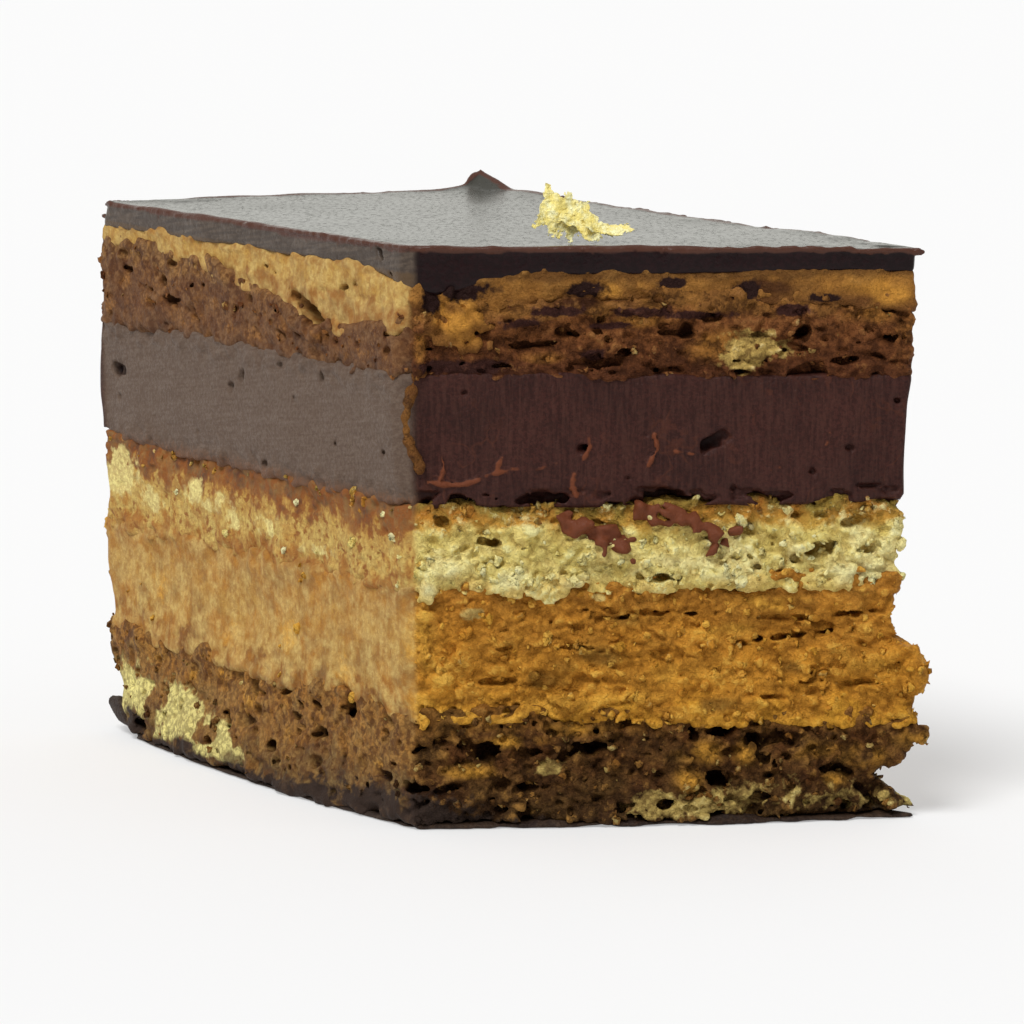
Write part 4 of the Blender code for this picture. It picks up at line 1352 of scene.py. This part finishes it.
thinCreamFinish = dict(
    creamFinish, warp=0.3, patchAmount=0.4, crestHighlightAmount=0.4, deepAmount=0.35, smudge=0.2,
    tornBands=(
        (0.0, (0.17, 0.068, 0.02)), (0.4, (0.4, 0.175, 0.036)), (0.8, (0.38, 0.17, 0.036)),
        (1.0, (0.18, 0.08, 0.02)),
    ),
    patch=(0.22, 0.1, 0.03), tornPaintedHighlight=(0.48, 0.24, 0.06), tornPaintedShade=(0.09, 0.03, 0.008),
    bright=(0.72, 0.33, 0.055), dull=(0.06, 0.022, 0.01),
    wipedBands=(
        (0.0, (0.3, 0.14, 0.04)), (0.2, (0.47, 0.275, 0.068)), (0.85, (0.5, 0.3, 0.075)),
        (1.0, (0.4, 0.22, 0.06)),
    ),
    speck=0.35,
)
thinCreamLook = {
    "seed": 61, "fray": 0.08, "voxel": 0.14, "lap": (0.7, 0.4), "soften": 0.35, "adaptivity": 0.03,
    "tornLumps": (((2.4, 2.4, 1.6), 0.09),),
    "wipedLumps": (((3.0, 3.0, 3.0), 0.08), ((0.9, 0.9, 1.2), 0.03)),
    "crumble": (
        ((1.4, 1.4, 0.7), 0.06, 0.02), ((0.6, 0.6, 0.4), 0.06, 0.03), ((0.38, 0.38, 0.32), 0.05, 0.04),
    ),
    "edge": {"from": 37.5, "to": 42.0, "at": 0.2, "size": (0.3, 0.5)},
    "hollows": {
        "frontLeft": (
            (27, 40.8, 0.1, -20, 1.2, 0.6, 0.12), (33.6, 38, 0.1, -24, 2.7, 1.8, 0.85),
            (38.5, 40.2, 0.1, 10, 1, 0.5, 0.1),
        ),
    },
    "lobes": {"frontRight": ((3, 38.4, -0.1, 0, 2.6, 0.5, 1.9), (5.2, 37.6, -0.1, 30, 1.2, 0.4, 0.8))},
    "brightSpots": {"frontRight": ((3, 38.6, 2.6, 1.8), (35, 40.3, 3.5, 0.8))},
    "dullSpots": {"frontRight": ((14, 40.6, 3.5, 0.8), (26, 40.6, 2.5, 0.6))},
    "stainSpots": {
        "frontRight": (
            (3.4, 40.6, 2.4, 0.75), (0.9, 40, 0.7, 1.2), (12.8, 40.5, 1.9, 0.7), (24.4, 40.3, 1, 0.8),
            (18.8, 41, 1.2, 0.4), (30.5, 39.8, 1.2, 0.35),
        ),
    },
}
thinMat = crumbMaterial("thinCream", thinCreamFinish)
buildLayer("thinCream", "thin_cream", thinCreamLook, thinMat, marks=patches)


edge = sides["frontLeft"]["length"]  # a soft ridge of cream that the knife dragged down the near edge
edgePath = (
    (edge - 0.4, 35.0), (edge - 0.3, 33.4), (edge - 0.5, 32.2), (edge - 0.8, 31.0), (edge - 0.5, 29.4),
    (edge - 0.2, 28.2), (edge, 27.2),
)
edgeLook = {
    "ragged": 0.06,
    "values": {"proud": 0.3, "torn": 1.0, "level": 0.1, "tint": -0.2, "stain": 0.25},
}
edgeSpots = ridgeSpots("frontLeft", edgePath, (0.50, 0.34, 0.40), 0.06)
buildSmears("edgeRidge", ganacheBlock, edgeLook, edgeSpots, thinMat)


# Glaze: flat satin top with fine marks, a worn rim, a peak at the back and a crack at the near corner.

glazeFinish = {
    "roughness": 0.26, "specular": 0.15, "grainSize": 0.45, "grainHeight": 0.012,
    "dark": (0.0105, 0.003, 0.0034), "light": (0.016, 0.0046, 0.005), "deep": (0.006, 0.003, 0.003),
    "hair": 0.0, "hairColour": (0.045, 0.02, 0.016), "hairHeight": 0.0, "burr": (0.085, 0.034, 0.022),
    # the top colour is a grey painted sheen on the upward faces
    "dragWidth": 0.3, "dragHeight": 0.006, "top": (0.055, 0.053, 0.043), "foot": (0.1, 0.06, 0.03),
    # the wiped colours are partly painted sheen: the smoothed sides lighter and greyer
    "crease": 0.0, "wiped": (0.07, 0.052, 0.04), "wipedLight": (0.14, 0.105, 0.078),
    "wipedDark": (0.04, 0.026, 0.02),
}
glazeMat = chocolateMaterial("chocolateGlaze", glazeFinish)
glazeLook = {
    "seed": 71, "voxel": 0.16, "lap": (0.3, 0.0), "soften": 0.35, "adaptivity": 0.004, "rim": (0.18, 0.26),
    "topFrom": 43.0, "tornLumps": (((9.0, 9.0, 6.0), 0.06), ((1.6, 1.6, 1.2), 0.03)),
    "wipedLumps": (((9.0, 9.0, 6.0), 0.06), ((1.6, 1.6, 1.2), 0.03)),
    "hollows": {"frontLeft": ((43.4, 43, 0, -42, 2.1, 0.6, 0.14),)},
    "peak": {"near": (-0.4, 24.8), "from": 44.5, "to": 46.6, "shift": -0.8, "reach": 5.0},
}


def glazeRim(block, look):
    # a low burr left by the knife along the top edges
    rng = np.random.default_rng(look["seed"])
    solid = block["body"] < 0
    voxel, low = block["voxel"], block["low"]
    blobs = []
    for name, side in sides.items():
        out = np.array((*side["out"], 0.0))
        for s in np.arange(0.6, side["length"] - 0.6, rimStep):
            point = onSide(name, s, 0.0) + out * block["plane"][name]
            i, j = (int(round((point - out * 0.8)[k] / voxel)) - low[k] for k in (0, 1))
            column = solid[i, j]
            size = rng.uniform(*look["rim"]) * (1.0 if name == "frontRight" else 0.75)
            if column.any():
                top = (len(column) - 1 - column[::-1].argmax() + low[2]) * voxel
                point[2] = top - 0.5
                point = seat(block, point[None, :], out, size * 0.35)[0]
                point[2] = top - size * 0.45
                blobs.append((point, side["along"], 0.0, (rng.uniform(0.4, 0.9), size, size)))
    stamp(block, blobs, False, ragged["rim"])


def glazeMarks(mesh, points, block, look):
    # the level top, the worn rim around it, and the drawn-up peak leaning to one side
    normals = np.empty(len(points) * 3, np.float32)
    mesh.vertex_normals.foreach_get("vector", normals)
    level = readBlock(block, block["level"], points)
    depth = np.min([block["plane"][name] - (points[:, :2] - side["start"]) @ side["out"]
                    for name, side in sides.items()], axis=0)
    wobble = 0.12 * readBlock(block, lumps(block, (1.5, 1.5, 1.0), seeds["rim"]), points)
    rim = easeStep(0.80, 0.92, level + 0.4 * wobble) * easeStep(0.42, 0.22, depth + wobble)
    writeValues(mesh, "proud", np.maximum(readValues(mesh, "proud"), 0.1 * rim))
    # the upward-facing top, coloured grey in the material as painted sheen
    top = easeStep(0.55, 0.85, normals[2::3]) * (points[:, 2] > look["topFrom"])
    writeValues(mesh, "top", top * (1 - rim))
    peak = look["peak"]
    rise = easeStep(peak["from"], peak["to"], points[:, 2])
    rise = rise * (np.hypot(*(points[:, :2] - peak["near"]).T) < peak["reach"])
    moved = points * mm
    moved[:, 0] += peak["shift"] * mm * rise
    mesh.vertices.foreach_set("co", moved.astype(np.float32).ravel())
    mesh.update()


buildLayer("glazeTop", "glaze", glazeLook, glazeMat, extra=glazeRim, marks=glazeMarks)


# Gold leaf: torn, crumpled flakes of foil, one standing and three lying against it.

def leafTree():
    tree, source, result = newGroup(
        "crumpledLeaf",
        [("Geometry", "NodeSocketGeometry", None), ("Width", "NodeSocketFloat", 3.0 * mm),
         ("Depth", "NodeSocketFloat", 2.0 * mm), ("Crumple", "NodeSocketFloat", 0.4 * mm),
         ("Thickness", "NodeSocketFloat", 0.04 * mm), ("Part Of Sheet", "NodeSocketVector", None),
         ("Place", "NodeSocketVector", None), ("Turn", "NodeSocketVector", None),
         ("Material", "NodeSocketMaterial", None)],
        [("Geometry", "NodeSocketGeometry")], "GeometryNodeTree",
    )
    given = source.outputs
    sheet = addNode(tree, "GeometryNodeMeshGrid", {
        "Size X": given["Width"], "Size Y": given["Depth"], "Vertices X": 38, "Vertices Y": 28})
    where = addNode(tree, "GeometryNodeInputPosition").outputs["Position"]
    sampled = vector(tree, "ADD", where, given["Part Of Sheet"])
    flat = addNode(tree, "ShaderNodeSeparateXYZ", {0: where}).outputs
    across = math2(tree, "ABSOLUTE", over(tree, flat["X"], given["Width"]))
    along = math2(tree, "ABSOLUTE", over(tree, flat["Y"], given["Depth"]))
    rip = addNode(tree, "ShaderNodeTexNoise", {
        "Vector": sampled, "Scale": 900.0, "Detail": 4.0, "Roughness": 0.6})
    edge = plus(tree, math2(tree, "MAXIMUM", across, along), around(tree, rip.outputs["Fac"], 0.9))
    gone = addNode(tree, "FunctionNodeCompare", {
        0: edge, 1: 0.40}, data_type="FLOAT", operation="GREATER_THAN")
    torn = addNode(tree, "GeometryNodeDeleteGeometry", {
        "Geometry": sheet.outputs["Mesh"], "Selection": gone.outputs["Result"]}, domain="FACE")
    folds = addNode(tree, "ShaderNodeTexNoise", {
        "Vector": sampled, "Scale": 650.0, "Detail": 3.0, "Roughness": 0.7})
    swing = vector(tree, "SUBTRACT", folds.outputs["Color"], (0.5, 0.5, 0.5))
    reach = times(tree, given["Crumple"], 5.0)
    push = vector(tree, "SCALE", swing, reach)
    crushed = addNode(tree, "GeometryNodeSetPosition", {
        "Geometry": torn.outputs["Geometry"], "Offset": push}).outputs["Geometry"]
    front = addNode(tree, "GeometryNodeExtrudeMesh", {
        "Mesh": crushed, "Offset Scale": given["Thickness"], "Individual": False}).outputs["Mesh"]
    back = addNode(tree, "GeometryNodeFlipFaces", {"Mesh": crushed}).outputs["Mesh"]
    both = tree.nodes.new("GeometryNodeJoinGeometry")
    for part in (front, back):
        tree.links.new(part, both.inputs["Geometry"])
    whole = addNode(tree, "GeometryNodeMergeByDistance", {
        "Geometry": both.outputs["Geometry"], "Distance": 0.001 * mm}).outputs["Geometry"]
    placed = addNode(tree, "GeometryNodeTransform", {
        "Geometry": whole, "Translation": given["Place"], "Rotation": given["Turn"]}).outputs["Geometry"]
    return endTree(tree, placed, given["Material"], result)


def goldMaterial(name, look):
    material, tree, shader, place = newMaterial(name, look["roughness"], look["specular"])
    shader.inputs["Metallic"].default_value = look["metallic"]
    wide = useGroup(tree, "drift", {"Vector": place, "Size": 0.8, "Low": 0.4, "High": 0.6})["Mask"]
    fine = useGroup(tree, "grain", {"Vector": place, "Size": 0.25})
    hollow = times(tree, fine["Hollow"], 0.4)
    # the bright patches are a painted highlight, the hollow colour a painted shade in the crumple
    colour = coated(tree, look["warm"], (wide, look["bright"]), (hollow, look["deep"]))
    tree.links.new(colour, shader.inputs["Base Color"])
    bump(tree, shader, times(tree, fine["Height"], look["grainHeight"]))
    return material


def buildLeaf(name, node, look, material):
    whole = bmesh.new()
    tree, host = leafTree(), bpy.data.meshes.new("leafHost")
    for place, turn, width, depth, part in look["flakes"]:
        flake = grown(host, tree, {
            "Width": width * mm, "Depth": depth * mm, "Crumple": look["crumple"] * mm, "Material": material,
            "Thickness": look["thickness"] * mm, "Part Of Sheet": [p * mm for p in part],
            "Place": [p * mm for p in place], "Turn": [math.radians(angle) for angle in turn]})
        whole.from_mesh(flake)
        bpy.data.meshes.remove(flake)
    bmesh.ops.recalc_face_normals(whole, faces=whole.faces)
    mesh = bpy.data.meshes.new(name)
    whole.to_mesh(mesh)
    whole.free()
    bpy.data.meshes.remove(host)
    return addPiece(name, mesh, node, material)


goldMat = goldMaterial("goldLeaf", {
    "roughness": 0.30, "specular": 0.5, "metallic": 0.04, "grainHeight": 0.03,
    # bright is a painted highlight on the foil, the hollow colour a painted shade
    "warm": (1.0, 0.84, 0.25), "bright": (1.0, 0.97, 0.56), "deep": (0.88, 0.72, 0.20),
})
buildLeaf("goldFlakes", "gold_leaf", {
    "crumple": 0.20, "thickness": 0.05,
    # place, turn in degrees, width, depth, which part of the crumpled sheet
    "flakes": (
        ((5.3, -18.9, 45.8), (68, 22, 12), 4.0, 4.0, (3, 1, 2)),
        ((6.9, -18.9, 45.2), (42, 34, -8), 3.8, 2.6, (9, 4, 7)),
        ((9.4, -19.3, 44.75), (24, -6, 10), 3.0, 1.8, (2, 12, 5)),
        ((8.0, -19.0, 44.8), (38, 16, 30), 2.6, 1.6, (17, 3, 9)),
    ),
}, goldMat)


# Base coat: a thin chocolate skin under the portion.

baseFinish = {
    "roughness": 0.5, "specular": 0.2, "grainSize": 0.5, "grainHeight": 0.06, "dark": (0.024, 0.012, 0.008),
    "light": (0.055, 0.03, 0.017), "deep": (0.01, 0.005, 0.004), "hair": 0.2,
    "hairColour": (0.1, 0.06, 0.03), "hairHeight": 0.02, "burr": (0.08, 0.04, 0.025),
    "top": (0.03, 0.016, 0.01), "foot": (0.05, 0.03, 0.02), "crease": 0.3, "dragWidth": 0.3,
    "dragHeight": 0.02, "wiped": (0.038, 0.024, 0.017), "wipedLight": (0.075, 0.05, 0.033),
    "wipedDark": (0.02, 0.01, 0.008),
}
baseCoatLook = {
    "seed": 83, "voxel": 0.15, "lap": (0.0, 0.1), "soften": 0.25, "adaptivity": 0.03,
    "lean": ((0.0, 0.0), (0.5, 0.0), (0.8, -0.35), (1.0, -0.35)),
    "leanWiped": ((0.0, 0.0), (0.5, -0.25), (1.0, -0.3), (1.5, -0.1), (2.5, 0.0)),
    "tornLumps": (((1.8, 1.8, 1.2), 0.1), ((0.7, 0.7, 0.6), 0.05)),
    "wipedLumps": (((6.0, 6.0, 2.0), 0.03), ((0.8, 0.8, 0.6), 0.012)),
    "lobes": {"frontLeft": ((6, 1.6, 0, 20, 1.6, 0.4, 1), (15.5, 1.2, 0, 0, 2.2, 0.4, 0.8))},
}
baseMat = chocolateMaterial("chocolateBase", baseFinish)
buildLayer("baseCoat", "base_coat", baseCoatLook, baseMat)


# Camera, floor and light.

def makeCamera(look):
    camera = bpy.data.objects.new("camera", bpy.data.cameras.new("camera"))
    bpy.context.scene.collection.objects.link(camera)
    camera.data.lens = look["lens"]
    camera.data.sensor_width = look["sensor"]
    camera.location = look["place"]
    camera.rotation_euler = (math.radians(90 - look["down"]), 0.0, 0.0)
    camera.data.clip_start = look["nearest"]
    bpy.context.scene.camera = camera


def makeStage(look):
    bm = bmesh.new()
    bmesh.ops.create_circle(bm, cap_ends=True, segments=64, radius=look["radius"])
    mesh = bpy.data.meshes.new("floor")
    bm.to_mesh(mesh)
    bm.free()
    material, _, shader, _ = newMaterial("floorWhite", 0.8, 0.0)
    shader.inputs["Base Color"].default_value = (*look["colour"], 1.0)
    shader.inputs["Emission Color"].default_value = (*look["glow"], 1.0)
    shader.inputs["Emission Strength"].default_value = 1.0
    material.cycles.emission_sampling = "NONE"
    mesh.materials.append(material)
    floor = bpy.data.objects.new("floor", mesh)
    bpy.context.scene.collection.objects.link(floor)


def makeLight(look):
    world = bpy.data.worlds.new("studio")
    bpy.context.scene.world = world
    world.use_nodes = True
    tree = world.node_tree
    direction = addNode(tree, "ShaderNodeTexCoord").outputs["Generated"]
    parts = addNode(tree, "ShaderNodeSeparateXYZ", {0: direction})
    before = ramp(tree, parts.outputs["Y"], -0.1, -0.8)
    low = ramp(tree, parts.outputs["Z"], 0.6, 0.3)
    behind = times(tree, ramp(tree, parts.outputs["Y"], 0.3, 0.8), low)
    shade = coated(tree, look["sides"], (before, look["front"]), (behind, look["back"]))
    background = tree.nodes["Background"]
    tree.links.new(shade, background.inputs["Color"])
    background.inputs["Strength"].default_value = look["strength"]
    lamp = bpy.data.lights.new("softbox", "SUN")
    lamp.energy = look["sun"]
    lamp.angle = math.radians(look["sunAngle"])
    sun = bpy.data.objects.new("softbox", lamp)
    sun.rotation_euler = Vector(look["sunFrom"]).to_track_quat("Z", "Y").to_euler()
    bpy.context.scene.collection.objects.link(sun)
    bpy.context.scene.view_settings.view_transform = "Standard"


makeCamera({"lens": 146.74, "sensor": 36.0, "place": (0.0016, -0.331, 0.0702), "down": 8.547,
            "nearest": 0.01})
makeStage({"radius": 8.0, "colour": (0.535, 0.535, 0.535), "glow": (0.355, 0.355, 0.355)})
makeLight({
    "sides": (0.58, 0.58, 0.58), "front": (0.24, 0.24, 0.24), "back": (1.14, 1.14, 1.07), "strength": 1.0,
    "sun": 2.3, "sunAngle": 25, "sunFrom": (-0.36, -0.56, 1.0),
})
print("stage and light ready")
